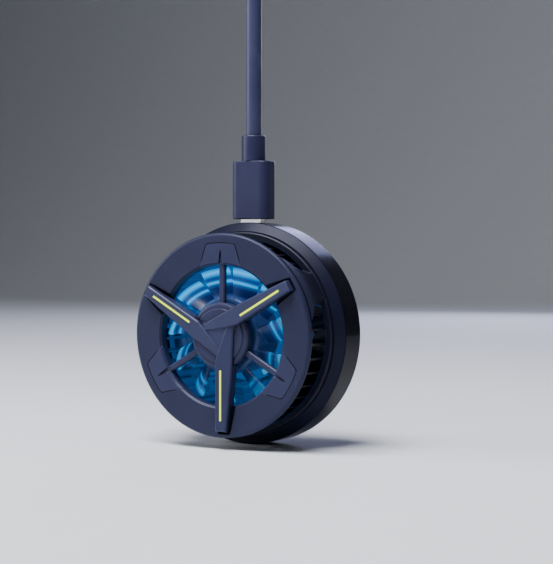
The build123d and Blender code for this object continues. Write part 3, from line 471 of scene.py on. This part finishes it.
def start_material(name, **fixed):
    """New material with its shader; fixed values go straight on the shader's own sockets."""
    material = bpy.data.materials.new(name)
    material.use_nodes = True
    tree = material.node_tree
    tree.nodes.clear()
    shader = put(tree, "ShaderNodeBsdfPrincipled")
    out = put(tree, "ShaderNodeOutputMaterial")
    tree.links.new(shader.outputs[0], out.inputs["Surface"])
    for label, value in fixed.items():
        shader.inputs[label.replace("_", " ")].default_value = value
    return material, tree, shader


def bump_onto(tree, shader, height, depth, normal=None):
    """Feed a height through a bump node to the shader's normal; depth is in metres."""
    inputs = {"Height": height, "Distance": depth, "Strength": 1.0}
    if normal is not None:
        inputs["Normal"] = normal
    bump = put(tree, "ShaderNodeBump", inputs)
    tree.links.new(bump.outputs[0], shader.inputs["Normal"])


def moulded(name, colour, second, rough, grain=1.0, grain_depth=0.000008, edge_lightening=0.25,
            marks=0.06, edge_brightness=1.9, seam_zone=None, shaded_depth=None, corner_shade=0.0, **fixed):
    """Moulded plastic or rubber: mottled colour, grain, softened and slightly worn edges.

    wear is how far the edges are worn and polish how much brighter they are there; marks is how
    much smudges change the roughness. Between the two radii of seam_zone edges are dark joints;
    between the two depths of shaded_depth it darkens towards the base; hollows is how much it
    darkens in corners.
    """
    joint_fade, joint_width = 0.0004, 0.00034
    sizes = bpy.context.scene.fan_sizes
    material, tree, shader = start_material(name, **fixed)
    skin = use(tree, mould_grain, Size=sizes.grain_size * grain).outputs
    edges = use(tree, soft_edges, Radius=sizes.edge_radius).outputs
    touch = use(tree, handling_marks).outputs
    body = blend_colours(tree, skin["Mottle"], colour, second)
    body = blend_colours(tree, calc(tree, "MULTIPLY", touch["Scratches"], 0.35), body,
                         lifted(colour, 1.9, 0.012))
    worn_and_lit_edges = calc(tree, "MULTIPLY", edges["Edge"], edge_lightening)
    place = use(tree, fan_radius).outputs if seam_zone or shaded_depth else None
    # Painted shade: between the two depths of shaded_depth the colour darkens towards the base,
    # where the back of the piece lies in shade.
    if shaded_depth:
        shade = spread(tree, place["Depth"], *shaded_depth, 0.7, 0.0)
        body = blend_colours(tree, shade, body, scaled(colour, 0.1))
    if seam_zone:
        inner, outer = seam_zone
        joint = calc(tree, "MULTIPLY",
                     spread(tree, place["Radius"], inner, inner + joint_fade),
                     spread(tree, place["Radius"], outer - joint_fade, outer, 1.0, 0.0))
        wide = use(tree, soft_edges, Radius=joint_width).outputs["Edge"]
        dark = spread(tree, wide, 0.05, 0.5, 0.0, 0.92)
        body = blend_colours(tree, calc(tree, "MULTIPLY", dark, joint), body,
                             scaled(colour, 0.08))
        worn_and_lit_edges = calc(tree, "MULTIPLY", worn_and_lit_edges, calc(tree, "SUBTRACT", 1.0, joint))
    # Lighter edges: partly worn, partly a painted highlight where the light would catch their
    # rounding.
    body = blend_colours(tree, worn_and_lit_edges, body, lifted(colour, edge_brightness, 0.012))
    # Painted shade: corners and the ground under overlapping pieces darken by how closed in they
    # are.
    if corner_shade:
        painted_corner_shade = spread(tree, use(tree, crevices).outputs[0], 0.0, 1.0, corner_shade, 0.0, smooth=False)
        body = blend_colours(tree, painted_corner_shade, body, scaled(colour, 0.04))
    tree.links.new(body, shader.inputs["Base Color"])
    shine = calc(tree, "MULTIPLY_ADD", touch["Smudges"], -marks, rough)
    shine = calc(tree, "MULTIPLY_ADD", skin["Grain"], marks * 0.6, shine)
    tree.links.new(calc(tree, "MAXIMUM", shine, 0.04), shader.inputs["Roughness"])
    bump_onto(tree, shader, skin["Grain"], grain_depth, edges["Normal"])
    return material


def light_inside(material, radius, rear, front, colour):
    """Let the light of the bowl fall on a piece's inner wall, within a radius and two depths."""
    edge_fade, rear_fade, front_fade = 0.0003, 0.0008, 0.001
    tree = material.node_tree
    shader = next(node for node in tree.nodes if node.type == "BSDF_PRINCIPLED")
    shader.inputs["Emission Strength"].default_value = 1.0
    place = use(tree, fan_radius).outputs
    reached = calc(tree, "MULTIPLY",
                   spread(tree, place["Radius"], radius, radius + edge_fade, 1.0, 0.0),
                   spread(tree, place["Depth"], front - front_fade, front, 1.0, 0.0))
    reached = calc(tree, "MULTIPLY", reached,
                   spread(tree, place["Depth"], rear, rear + rear_fade))
    tree.links.new(blend_colours(tree, reached, (0, 0, 0), colour),
                   shader.inputs["Emission Color"])
    return material


def metal(name, colour, second, rough, pattern="brushed", depth=0.000004, edge_lightening=0.2, **fixed):
    """Metal with turned, brushed, stacked, wound or blasted texture."""
    sizes = bpy.context.scene.fan_sizes
    material, tree, shader = start_material(name, Metallic=1.0, **fixed)
    edges = use(tree, soft_edges, Radius=sizes.edge_radius * 0.7).outputs
    touch = use(tree, handling_marks).outputs
    place = use(tree, fan_radius).outputs
    skin = use(tree, mould_grain, Size=sizes.grain_size * 0.8).outputs
    if pattern == "turned":
        height = use(tree, ribs, Along=place["Radius"], Pitch=sizes.groove_pitch).outputs[0]
    elif pattern == "stacked":
        height = use(tree, ribs, Along=place["Depth"], Pitch=sizes.sheet_pitch).outputs[0]
    elif pattern == "wound":
        height = use(tree, ribs, Along=place["Radius"], Pitch=sizes.wire_pitch).outputs[0]
    elif pattern == "brushed":
        height = use(tree, brushed_lines).outputs[0]
    else:
        height = skin["Grain"]
    body = blend_colours(tree, skin["Mottle"], colour, second)
    body = blend_colours(tree, calc(tree, "MULTIPLY_ADD", height, -0.35, 0.35), body,
                         scaled(colour, 0.55))
    body = blend_colours(tree, calc(tree, "MULTIPLY", edges["Edge"], edge_lightening), body,
                         lifted(colour, 1.3, 0.03))
    tree.links.new(body, shader.inputs["Base Color"])
    shine = calc(tree, "MULTIPLY_ADD", touch["Smudges"], 0.05, rough)
    shine = calc(tree, "MULTIPLY_ADD", skin["Grain"], 0.06, shine)
    tree.links.new(shine, shader.inputs["Roughness"])
    bump_onto(tree, shader, height, depth, edges["Normal"])
    return material


def lit_impeller(name, tint):
    """Translucent blade plastic with rings of light on it."""
    material, tree, shader = start_material(
        name, Transmission_Weight=0.15, IOR=1.49, Emission_Strength=1.45,
        Specular_IOR_Level=0.2,
    )
    glow = use(tree, ring_glow, Tint=(*tint, 1.0), Evenness=0.5).outputs
    edges = use(tree, soft_edges, Radius=0.00012).outputs
    skin = use(tree, mould_grain, Size=0.00025).outputs
    touch = use(tree, handling_marks).outputs
    body = blend_colours(tree, skin["Mottle"], (0.006, 0.022, 0.075), (0.010, 0.032, 0.10))
    # Painted highlight along the blades' edges.
    body = blend_colours(tree, edges["Edge"], body, (0.03, 0.09, 0.20))
    tree.links.new(body, shader.inputs["Base Color"])
    tree.links.new(glow["Glow"], shader.inputs["Emission Color"])
    shine = calc(tree, "MULTIPLY_ADD", touch["Smudges"], 0.12, 0.30)
    tree.links.new(shine, shader.inputs["Roughness"])
    bump_onto(tree, shader, skin["Grain"], 0.000006, edges["Normal"])
    return material


def lit_sink(name, tint):
    """Black anodised fins that catch the light of the bowl."""
    material, tree, shader = start_material(name, Metallic=0.55, Emission_Strength=1.1)
    place = use(tree, fan_radius).outputs
    glow = use(tree, ring_glow, Tint=(*tint, 1.0), Evenness=0.75).outputs
    edges = use(tree, soft_edges, Radius=0.00008).outputs
    lines = use(tree, brushed_lines, Stretch=(90.0, 5200.0, 90.0)).outputs[0]
    skin = use(tree, mould_grain, Size=0.00009).outputs
    # Painted light: the bowl's glow reaches further out on the -X side, is fainter towards the
    # back and fades out beyond the bowl.
    across = put(tree, "ShaderNodeSeparateXYZ", {0: object_point(tree)}).outputs["X"]
    leaned = calc(tree, "MULTIPLY_ADD", across, 0.22, place["Radius"])
    in_bowl = spread(tree, leaned, 0.0200, 0.0224, 1.0, 0.0)
    deep = spread(tree, place["Depth"], 0.0030, 0.0058, 0.5, 1.0)
    reached = calc(tree, "MULTIPLY", in_bowl, deep)
    outer = spread(tree, place["Radius"], 0.0215, 0.0265, 1.0, 0.12)
    reached = calc(tree, "MULTIPLY", reached, outer)
    field = blend_colours(tree, 0.25, (0.0, 0.060, 0.230), glow["Glow"])
    light = blend_colours(tree, calc(tree, "MULTIPLY", reached, glow["Mask"]), (0, 0, 0), field)
    body = blend_colours(tree, skin["Mottle"], (0.012, 0.013, 0.017), (0.020, 0.021, 0.027))
    # Painted highlight on the fins' edges.
    body = blend_colours(tree, calc(tree, "MULTIPLY", edges["Edge"], 0.4), body,
                         (0.20, 0.22, 0.30))
    tree.links.new(body, shader.inputs["Base Color"])
    tree.links.new(light, shader.inputs["Emission Color"])
    tree.links.new(calc(tree, "MULTIPLY_ADD", lines, 0.2, 0.26), shader.inputs["Roughness"])
    bump_onto(tree, shader, lines, 0.000004, edges["Normal"])
    return material


def lit_strip(name, colour):
    """Bright inlay, brightest along its middle."""
    material, tree, shader = start_material(name, Emission_Strength=2.3)
    skin = use(tree, mould_grain, Size=0.0002).outputs
    edges = use(tree, soft_edges, Radius=0.00012).outputs
    place = use(tree, fan_radius).outputs
    # The strips lie along 30, 150 and 270 degrees; folded by thirds, all lie along zero
    third = math.radians(120)
    turned = calc(tree, "ADD", place["Angle"], math.radians(390))
    folded = calc(tree, "SUBTRACT", calc(tree, "MODULO", turned, third), third / 2)
    across = calc(tree, "MULTIPLY", place["Radius"], calc(tree, "SINE", folded))
    off_middle = calc(tree, "ABSOLUTE", calc(tree, "SUBTRACT", across, STRIP_OFFSET))
    # Painted glow, brightest along the strip's middle.
    core = spread(tree, off_middle, 0.00006, 0.00030, 1.0, 0.0)
    body = blend_colours(tree, skin["Mottle"], colour, scaled(colour, 0.92))
    body = blend_colours(tree, core, scaled(colour, 0.10), body)
    tree.links.new(blend_colours(tree, 0.75, body, (0, 0, 0)), shader.inputs["Base Color"])
    tree.links.new(body, shader.inputs["Emission Color"])
    tree.links.new(spread(tree, skin["Grain"], 0.2, 0.9, 0.28, 0.4), shader.inputs["Roughness"])
    bump_onto(tree, shader, skin["Grain"], 0.000004, edges["Normal"])
    return material


def lit_chip(name, tint):
    """Small light chip: white case, glowing lens in its middle."""
    material, tree, shader = start_material(name, Emission_Strength=0.6)
    skin = use(tree, mould_grain, Size=0.0002).outputs
    edges = use(tree, soft_edges, Radius=0.0001).outputs
    lens = spread(tree, edges["Edge"], 0.05, 0.4, 1.0, 0.0)
    colour = (0.10 * tint[0], 0.60 * tint[1], tint[2])
    tree.links.new(blend_colours(tree, lens, (0.10, 0.13, 0.22), (0.06, 0.20, 0.36)),
                   shader.inputs["Base Color"])
    tree.links.new(blend_colours(tree, lens, (0, 0, 0), colour), shader.inputs["Emission Color"])
    bump_onto(tree, shader, skin["Grain"], 0.00001, edges["Normal"])
    return material


def insulated_wire(name, turn):
    """Pair of wires, one red and one black."""
    material, tree, shader = start_material(name)
    side = use(tree, split_by_plane, Turn=turn).outputs[0]
    skin = use(tree, mould_grain, Size=0.00012).outputs
    edges = use(tree, soft_edges, Radius=0.00008).outputs
    body = blend_colours(tree, side, (0.030, 0.030, 0.034), (0.48, 0.030, 0.022))
    body = blend_colours(tree, calc(tree, "MULTIPLY", skin["Mottle"], 0.3), body,
                         (0.10, 0.05, 0.05))
    tree.links.new(body, shader.inputs["Base Color"])
    tree.links.new(spread(tree, skin["Grain"], 0.2, 0.9, 0.36, 0.52), shader.inputs["Roughness"])
    bump_onto(tree, shader, skin["Grain"], 0.000006, edges["Normal"])
    return material


def plated_tongue(name, pitch, half_span, colour):
    """Moulded tongue with plated contacts side by side."""
    material, tree, shader = start_material(name)
    strip = use(tree, contact_strips, Pitch=pitch, Half_span=half_span).outputs[0]
    skin = use(tree, mould_grain, Size=0.0001).outputs
    edges = use(tree, soft_edges, Radius=0.0001).outputs
    moulding = blend_colours(tree, skin["Mottle"], colour, scaled(colour, 1.5))
    tree.links.new(blend_colours(tree, strip, moulding, (0.83, 0.60, 0.24)),
                   shader.inputs["Base Color"])
    tree.links.new(strip, shader.inputs["Metallic"])
    tree.links.new(calc(tree, "MULTIPLY_ADD", strip, -0.25, 0.5), shader.inputs["Roughness"])
    height = calc(tree, "MULTIPLY_ADD", skin["Grain"], 0.15, strip)
    bump_onto(tree, shader, height, 0.00003, edges["Normal"])
    return material


def solder_mask(name, **fixed):
    """Printed board: green mask over tracks, with tinned pads."""
    material, tree, shader = start_material(name, Coat_Weight=0.3, **fixed)
    point = object_point(tree)
    tracks = put(tree, "ShaderNodeTexBrick", {
        "Vector": point, "Scale": 420.0, "Color1": (0, 0, 0, 1), "Color2": (0, 0, 0, 1),
        "Mortar": (1, 1, 1, 1), "Mortar Size": 0.02, "Mortar Smooth": 0.3,
    }, offset=0.37).outputs["Fac"]
    pads = put(tree, "ShaderNodeTexVoronoi", {"Vector": point, "Scale": 520.0}).outputs["Distance"]
    pad = spread(tree, pads, 0.16, 0.19, 1.0, 0.0)
    skin = use(tree, mould_grain, Size=0.0001).outputs
    edges = use(tree, soft_edges, Radius=0.00008).outputs
    board = blend_colours(tree, tracks, (0.004, 0.030, 0.020), (0.010, 0.070, 0.045))
    board = blend_colours(tree, calc(tree, "MULTIPLY", skin["Mottle"], 0.25), board,
                          (0.02, 0.05, 0.04))
    tree.links.new(blend_colours(tree, pad, board, (0.62, 0.63, 0.65)),
                   shader.inputs["Base Color"])
    tree.links.new(pad, shader.inputs["Metallic"])
    tree.links.new(calc(tree, "MULTIPLY_ADD", pad, -0.1, 0.38), shader.inputs["Roughness"])
    height = calc(tree, "ADD", tracks, pad)
    bump_onto(tree, shader, height, 0.00002, edges["Normal"])
    return material


def dress(material, *names):
    """Give CAD pieces a finish by their material slots."""
    for name in names:
        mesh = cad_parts[name].data
        if not mesh.materials:
            mesh.materials.append(material)
        for index in range(len(mesh.materials)):
            mesh.materials[index] = material


def link(thing):
    """Put a new object in the scene."""
    bpy.context.scene.collection.objects.link(thing)
    return thing


# ---------------------------------------------------------------- operators


class FAN_OT_camera(bpy.types.Operator):
    """Camera at the height and angle that the fan is seen from"""

    bl_idname = "fan.camera"
    bl_label = "Camera"

    def execute(self, context):
        data = bpy.data.cameras.new("camera")
        data.lens = context.scene.fan_stage.focal_length
        data.sensor_width = 36.0
        data.clip_start = 0.01
        data.clip_end = 30.0
        camera = link(bpy.data.objects.new("camera", data))
        camera.location = CAMERA_PLACE
        camera.rotation_euler = CAMERA_TURN
        context.scene.camera = camera
        return {"FINISHED"}


class FAN_OT_cable(bpy.types.Operator):
    """Cable that rises straight from the plug, pulled tight"""

    bl_idname = "fan.cable"
    bl_label = "Cable"

    def execute(self, context):
        scene = context.scene
        curve = bpy.data.curves.new("charging_cable", "CURVE")
        curve.dimensions = "3D"
        curve.resolution_u = 24
        curve.bevel_depth = scene.fan_sizes.cable_diameter / 2
        curve.bevel_resolution = 12
        spline = curve.splines.new("NURBS")
        spline.points.add(len(CABLE_ROUTE) - 1)
        for point, place in zip(spline.points, CABLE_ROUTE):
            point.co = (*place, 1.0)
        spline.order_u = 3
        spline.use_endpoint_u = True
        cable = link(bpy.data.objects.new("charging_cable", curve))
        colour = tuple(scene.fan_colours.cable)
        jacket = moulded("cable jacket", colour, scaled(colour, 0.85), 0.42, grain=0.8,
                         grain_depth=0.000006, edge_lightening=0.0, marks=0.10, Specular_IOR_Level=0.3)
        curve.materials.append(jacket)
        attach(cable, "plug")
        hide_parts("cable")
        return {"FINISHED"}


class FAN_OT_cover(bpy.types.Operator):
    """Front cover, grille frame, pinwheel cap and their bright strips"""

    bl_idname = "fan.cover"
    bl_label = "Cover and grille"

    def execute(self, context):
        colours = context.scene.fan_colours
        cover = tuple(colours.cover)
        plastic = moulded("cover plastic", cover, scaled(cover, 0.9), 0.44,
                          grain_depth=0.000007, edge_lightening=0.7, marks=0.07, edge_brightness=7.0, corner_shade=0.85,
                          seam_zone=JOINT_ZONE, shaded_depth=LEG_DEPTHS,
                          Specular_IOR_Level=0.24, Specular_Tint=DARK_TINT)
        # Painted light: the cover's inner wall glows where the light of the bowl would fall on it.
        dress(light_inside(plastic, radius=0.0262, rear=0.0040, front=0.0205,
                           colour=(0.0, 0.028, 0.105)), "front_cover")
        # Painted light: the grille and the pinwheel take the cover's colour made lighter, so they
        # stand brighter than the cover.
        grille = scaled(cover, 1.35)
        dress(moulded("grille plastic", grille, scaled(grille, 0.9), 0.40,
                      grain_depth=0.000006, edge_lightening=0.8, marks=0.07, edge_brightness=7.0, corner_shade=0.85,
                      seam_zone=JOINT_ZONE, Specular_IOR_Level=0.27,
                      Specular_Tint=DARK_TINT), "grille_frame")
        raised = scaled(cover, 1.55)
        dress(moulded("pinwheel plastic", raised, scaled(raised, 0.9), 0.40,
                      grain_depth=0.000006, edge_lightening=0.7, marks=0.07, edge_brightness=5.0, corner_shade=0.9,
                      Specular_IOR_Level=0.27, Specular_Tint=DARK_TINT), "pinwheel_cap")
        dress(lit_strip("accent strip", tuple(colours.accent)), "accent_strips")
        return {"FINISHED"}


class FAN_OT_housing(bpy.types.Operator):
    """Conical housing ring and glossy base shell"""

    bl_idname = "fan.housing"
    bl_label = "Housing and base"

    def execute(self, context):
        colours = context.scene.fan_colours
        housing, shell = tuple(colours.housing), tuple(colours.shell)
        dress(moulded("housing plastic", housing, scaled(housing, 0.85), 0.40,
                      grain_depth=0.000006, edge_lightening=0.25, Specular_IOR_Level=0.12,
                      Specular_Tint=DARK_TINT), "middle_housing")
        gloss = moulded("base gloss", shell, scaled(shell, 0.8), 0.16, grain=0.7,
                        grain_depth=0.000001, edge_lightening=0.12, marks=0.06, Specular_IOR_Level=0.055,
                        Specular_Tint=DARK_TINT)
        # Painted light: the base shell's inner wall glows where the light of the bowl would fall
        # on it.
        dress(light_inside(gloss, radius=0.0299, rear=0.0010, front=0.0090,
                           colour=(0.0, 0.045, 0.170)), "base_shell")
        return {"FINISHED"}


class FAN_OT_impeller(bpy.types.Operator):
    """Lit impeller and the rotor inside its cup"""

    bl_idname = "fan.impeller"
    bl_label = "Impeller and rotor"

    def execute(self, context):
        dress(lit_impeller("impeller plastic", tuple(context.scene.fan_colours.glow)), "impeller")
        dress(metal("rotor steel", (0.46, 0.47, 0.50), (0.38, 0.39, 0.42), 0.30, "turned"),
              "rotor_yoke", "fan_shaft")
        dress(moulded("ferrite", (0.022, 0.022, 0.025), (0.034, 0.034, 0.038), 0.62, grain=1.6,
                      grain_depth=0.00002), "rotor_magnet")
        return {"FINISHED"}


class FAN_OT_motor(bpy.types.Operator):
    """Stator, its windings, the bearing and the mount"""

    bl_idname = "fan.motor"
    bl_label = "Motor"

    def execute(self, context):
        tint = tuple(context.scene.fan_colours.glow)
        dress(metal("core sheets", (0.28, 0.29, 0.32), (0.22, 0.23, 0.25), 0.34, "stacked",
                    depth=0.00003), "stator_core")
        dress(metal("enamelled copper", (0.62, 0.20, 0.08), (0.50, 0.15, 0.06), 0.26, "wound",
                    depth=0.00009, Coat_Weight=0.4), "stator_windings")
        dress(metal("sintered bronze", (0.40, 0.24, 0.10), (0.34, 0.20, 0.08), 0.42, "blasted",
                    depth=0.00001), "bearing_sleeve")
        dress(moulded("natural nylon", (0.68, 0.66, 0.58), (0.60, 0.58, 0.50), 0.45),
              "thrust_pad", "clamp_bushes")
        dress(moulded("motor mount plastic", (0.030, 0.032, 0.042), (0.024, 0.026, 0.034), 0.45),
              "motor_mount")
        # Painted light: the board glows blue where the light chips shine on it.
        dress(solder_mask("motor board mask", Emission_Color=(0.0, 0.10, 0.34, 1.0),
                          Emission_Strength=0.8), "motor_board")
        dress(lit_chip("light chip", tint), "light_chips")
        return {"FINISHED"}


class FAN_OT_cooling(bpy.types.Operator):
    """Heat sink, thermoelectric module, cold plate and contact pad"""

    bl_idname = "fan.cooling"
    bl_label = "Cooling stack"

    def execute(self, context):
        tint = tuple(context.scene.fan_colours.glow)
        dress(lit_sink("black anodised fins", tint), "heat_sink")
        dress(metal("blasted aluminium", (0.62, 0.63, 0.66), (0.56, 0.57, 0.60), 0.32, "turned",
                    depth=0.000003), "cold_plate")
        dress(moulded("alumina", (0.80, 0.80, 0.77), (0.73, 0.73, 0.70), 0.5, grain=0.9),
              "cold_ceramic", "hot_ceramic")
        dress(metal("pellet", (0.30, 0.30, 0.33), (0.24, 0.24, 0.26), 0.4, "blasted",
                    depth=0.00001), "module_pellets")
        dress(moulded("thermal pad", (0.36, 0.40, 0.47), (0.30, 0.34, 0.41), 0.7, grain=2.0,
                      grain_depth=0.00002), "cold_thermal_pad", "hot_thermal_pad")
        dress(moulded("silicone pad", (0.020, 0.021, 0.026), (0.028, 0.029, 0.034), 0.68,
                      grain=1.4, grain_depth=0.000015, Sheen_Weight=0.15), "contact_pad")
        return {"FINISHED"}


class FAN_OT_magnets(bpy.types.Operator):
    """Ring of magnets, its steel backing ring and all the screws"""

    bl_idname = "fan.magnets"
    bl_label = "Magnets and screws"

    def execute(self, context):
        dress(metal("nickel plate", (0.50, 0.50, 0.50), (0.44, 0.44, 0.44), 0.24, "brushed"),
              "magnet_segments")
        dress(metal("zinc plate", (0.44, 0.45, 0.48), (0.38, 0.39, 0.41), 0.32, "turned"),
              "magnet_shunt")
        # Painted light: the screws in the bowl glow a little where the light chips shine on them.
        for name, glow, screws in (
            ("black screw", 0.0, ("case_screws", "cover_screws", "mount_screws")),
            ("black screw in the bowl", 0.9, ("clamp_screws",)),
        ):
            dress(metal(name, (0.05, 0.05, 0.06), (0.07, 0.07, 0.08), 0.3, "blasted", edge_lightening=0.6,
                        Emission_Color=(0.0, 0.045, 0.170, 1.0), Emission_Strength=glow), *screws)
        return {"FINISHED"}


class FAN_OT_board(bpy.types.Operator):
    """Control board, chips, wires and the port"""

    bl_idname = "fan.board"
    bl_label = "Board and port"

    def execute(self, context):
        dress(solder_mask("control board mask"), "control_board")
        dress(moulded("insulating film", (0.50, 0.27, 0.03), (0.42, 0.22, 0.02), 0.3),
              "board_insulator")
        dress(moulded("chip moulding", (0.014, 0.014, 0.016), (0.020, 0.020, 0.022), 0.5),
              "board_chips")
        dress(insulated_wire("module wire", math.pi / 2), "module_leads")
        dress(insulated_wire("fan wire", math.radians(67.5)), "fan_leads")
        dress(metal("port plate", (0.60, 0.61, 0.63), (0.54, 0.55, 0.57), 0.22, "brushed"),
              "usb_port_shell")
        dress(plated_tongue("port tongue", 0.0005, 0.0030, (0.012, 0.012, 0.014)),
              "usb_port_tongue")
        return {"FINISHED"}


class FAN_OT_plugs(bpy.types.Operator):
    """Plug in the fan and the plug on the cable's far end"""

    bl_idname = "fan.plugs"
    bl_label = "Plugs"

    def execute(self, context):
        plug = tuple(context.scene.fan_colours.plug)
        dress(moulded("plug plastic", plug, scaled(plug, 0.88), 0.40, grain_depth=0.000006,
                      edge_lightening=0.45, marks=0.08, edge_brightness=3.0, Specular_IOR_Level=0.25),
              "plug_overmould", "plug_strain_relief", "usb_a_overmould", "usb_a_strain_relief")
        dress(metal("plug shell plate", (0.95, 0.95, 0.98), (0.90, 0.90, 0.93), 0.22, "brushed"),
              "plug_shell")
        dress(metal("far plug shell plate", (0.72, 0.73, 0.75), (0.64, 0.65, 0.67), 0.24,
                    "brushed"), "usb_a_shell")
        dress(plated_tongue("far plug tongue", 0.0024, 0.0048, (0.68, 0.69, 0.70)),
              "usb_a_tongue")
        return {"FINISHED"}


class FAN_OT_stage(bpy.types.Operator):
    """Pale floor that curves up into a backdrop, and soft studio lights"""

    bl_idname = "fan.stage"
    bl_label = "Stage"

    def execute(self, context):
        stage = context.scene.fan_stage
        colour = tuple(stage.floor_colour)
        sweep = self.sweep()
        material, tree, shader = start_material("studio paper", Specular_IOR_Level=0.2)
        skin = use(tree, mould_grain, Size=0.0016).outputs
        tree.links.new(blend_colours(tree, skin["Mottle"], colour, scaled(colour, 0.98)),
                       shader.inputs["Base Color"])
        tree.links.new(spread(tree, skin["Grain"], 0.2, 0.9, 0.75, 0.85),
                       shader.inputs["Roughness"])
        bump_onto(tree, shader, skin["Grain"], 0.00008)
        sweep.data.materials.append(material)

        white = (1.0, 1.0, 1.0)
        for name, power, colour, size, place, target in (
            ("top_light", stage.key_power, white,
             (0.45, 0.22), (-0.05, -0.22, 0.58), (0, 0, 0)),
            ("back_light", stage.back_power, (0.52, 0.55, 1.0),
             (0.40, 0.22), (-0.18, 0.80, 0.385), (0, 0, 0.01)),
            ("front_light", stage.fill_power, white,
             (0.5, 0.3), (0.05, -0.55, 0.75), (0, 0, 0.01)),
            ("left_light", stage.side_power, white,
             (0.35, 0.45), (-0.75, -0.34, 0.30), (0, 0, 0)),
            ("edge_light", stage.edge_power, (0.86, 0.88, 1.0),
             (0.14, 0.22), (-0.24, 0.80, 0.20), (0, 0, 0.01)),
            ("plug_light", stage.plug_power, white,
             (0.06, 0.05), (-0.352, -0.60, 0.041), (0, 0, 0.031)),
        ):
            self.lamp(name, power, colour, size, place, target)
        world = bpy.data.worlds.new("studio")
        world.use_nodes = True
        background = world.node_tree.nodes["Background"]
        background.inputs["Color"].default_value = (0.75, 0.80, 0.95, 1.0)
        background.inputs["Strength"].default_value = 0.06
        context.scene.world = world
        return {"FINISHED"}

    def sweep(self):
        """Paper that lies flat, bends up behind and stands as a wall."""
        half_width, front, bend_start, bend_radius, top, steps = 2.8, -2.2, 0.9, 0.7, 2.6, 24
        profile = [(front, 0.0), (bend_start, 0.0)]
        for step in range(1, steps + 1):
            turn = math.pi / 2 * step / steps
            profile.append((bend_start + bend_radius * math.sin(turn),
                            bend_radius * (1 - math.cos(turn))))
        profile.append((bend_start + bend_radius, top))
        mesh = bpy.data.meshes.new("studio_sweep")
        work = bmesh.new()
        left, right = (
            [work.verts.new((x, y, FLOOR_HEIGHT + z)) for y, z in profile]
            for x in (-half_width, half_width)
        )
        for index in range(len(profile) - 1):
            face = work.faces.new((left[index], right[index], right[index + 1], left[index + 1]))
            face.smooth = True
        work.to_mesh(mesh)
        work.free()
        return link(bpy.data.objects.new("studio_sweep", mesh))

    def lamp(self, name, power, colour, size, place, target):
        """Soft rectangular light, turned to its target and unseen by the camera."""
        data = bpy.data.lights.new(name, "AREA")
        data.shape = "RECTANGLE"
        data.size, data.size_y = size
        data.energy = power
        data.color = colour
        lamp = link(bpy.data.objects.new(name, data))
        lamp.location = place
        lamp.visible_camera = False
        away = Vector(place) - Vector(target)
        lamp.rotation_euler = away.to_track_quat("Z", "Y").to_euler()


OPERATORS = (
    FAN_OT_camera, FAN_OT_cable, FAN_OT_cover, FAN_OT_housing, FAN_OT_impeller, FAN_OT_motor,
    FAN_OT_cooling, FAN_OT_magnets, FAN_OT_board, FAN_OT_plugs, FAN_OT_stage,
)


class FAN_PT_sidebar(bpy.types.Panel):
    """Lists the pieces of the fan, its sizes and its colours"""

    bl_idname = "FAN_PT_sidebar"
    bl_label = "Cooling fan"
    bl_space_type = "VIEW_3D"
    bl_region_type = "UI"
    bl_category = "Cooling fan"

    def draw(self, context):
        layout = self.layout
        for group in (context.scene.fan_sizes, context.scene.fan_colours, context.scene.fan_stage):
            box = layout.box()
            for name in group.__annotations__:
                box.prop(group, name)
        for operator in OPERATORS:
            layout.operator(operator.bl_idname)


GROUPS = {"fan_sizes": FanSizes, "fan_colours": FanColours, "fan_stage": StageSettings}


def register():
    for group in GROUPS.values():
        bpy.utils.register_class(group)
    for name, group in GROUPS.items():
        setattr(bpy.types.Scene, name, bpy.props.PointerProperty(type=group))
    for cls in (*OPERATORS, FAN_PT_sidebar):
        bpy.utils.register_class(cls)


def unregister():
    for cls in (FAN_PT_sidebar, *reversed(OPERATORS)):
        bpy.utils.unregister_class(cls)
    for name in GROUPS:
        delattr(bpy.types.Scene, name)
    for group in reversed(GROUPS.values()):
        bpy.utils.unregister_class(group)


def main():
    register()
    for operator in OPERATORS:
        getattr(bpy.ops.fan, operator.bl_idname.split(".")[1])()


if __name__ == "__main__":
    main()
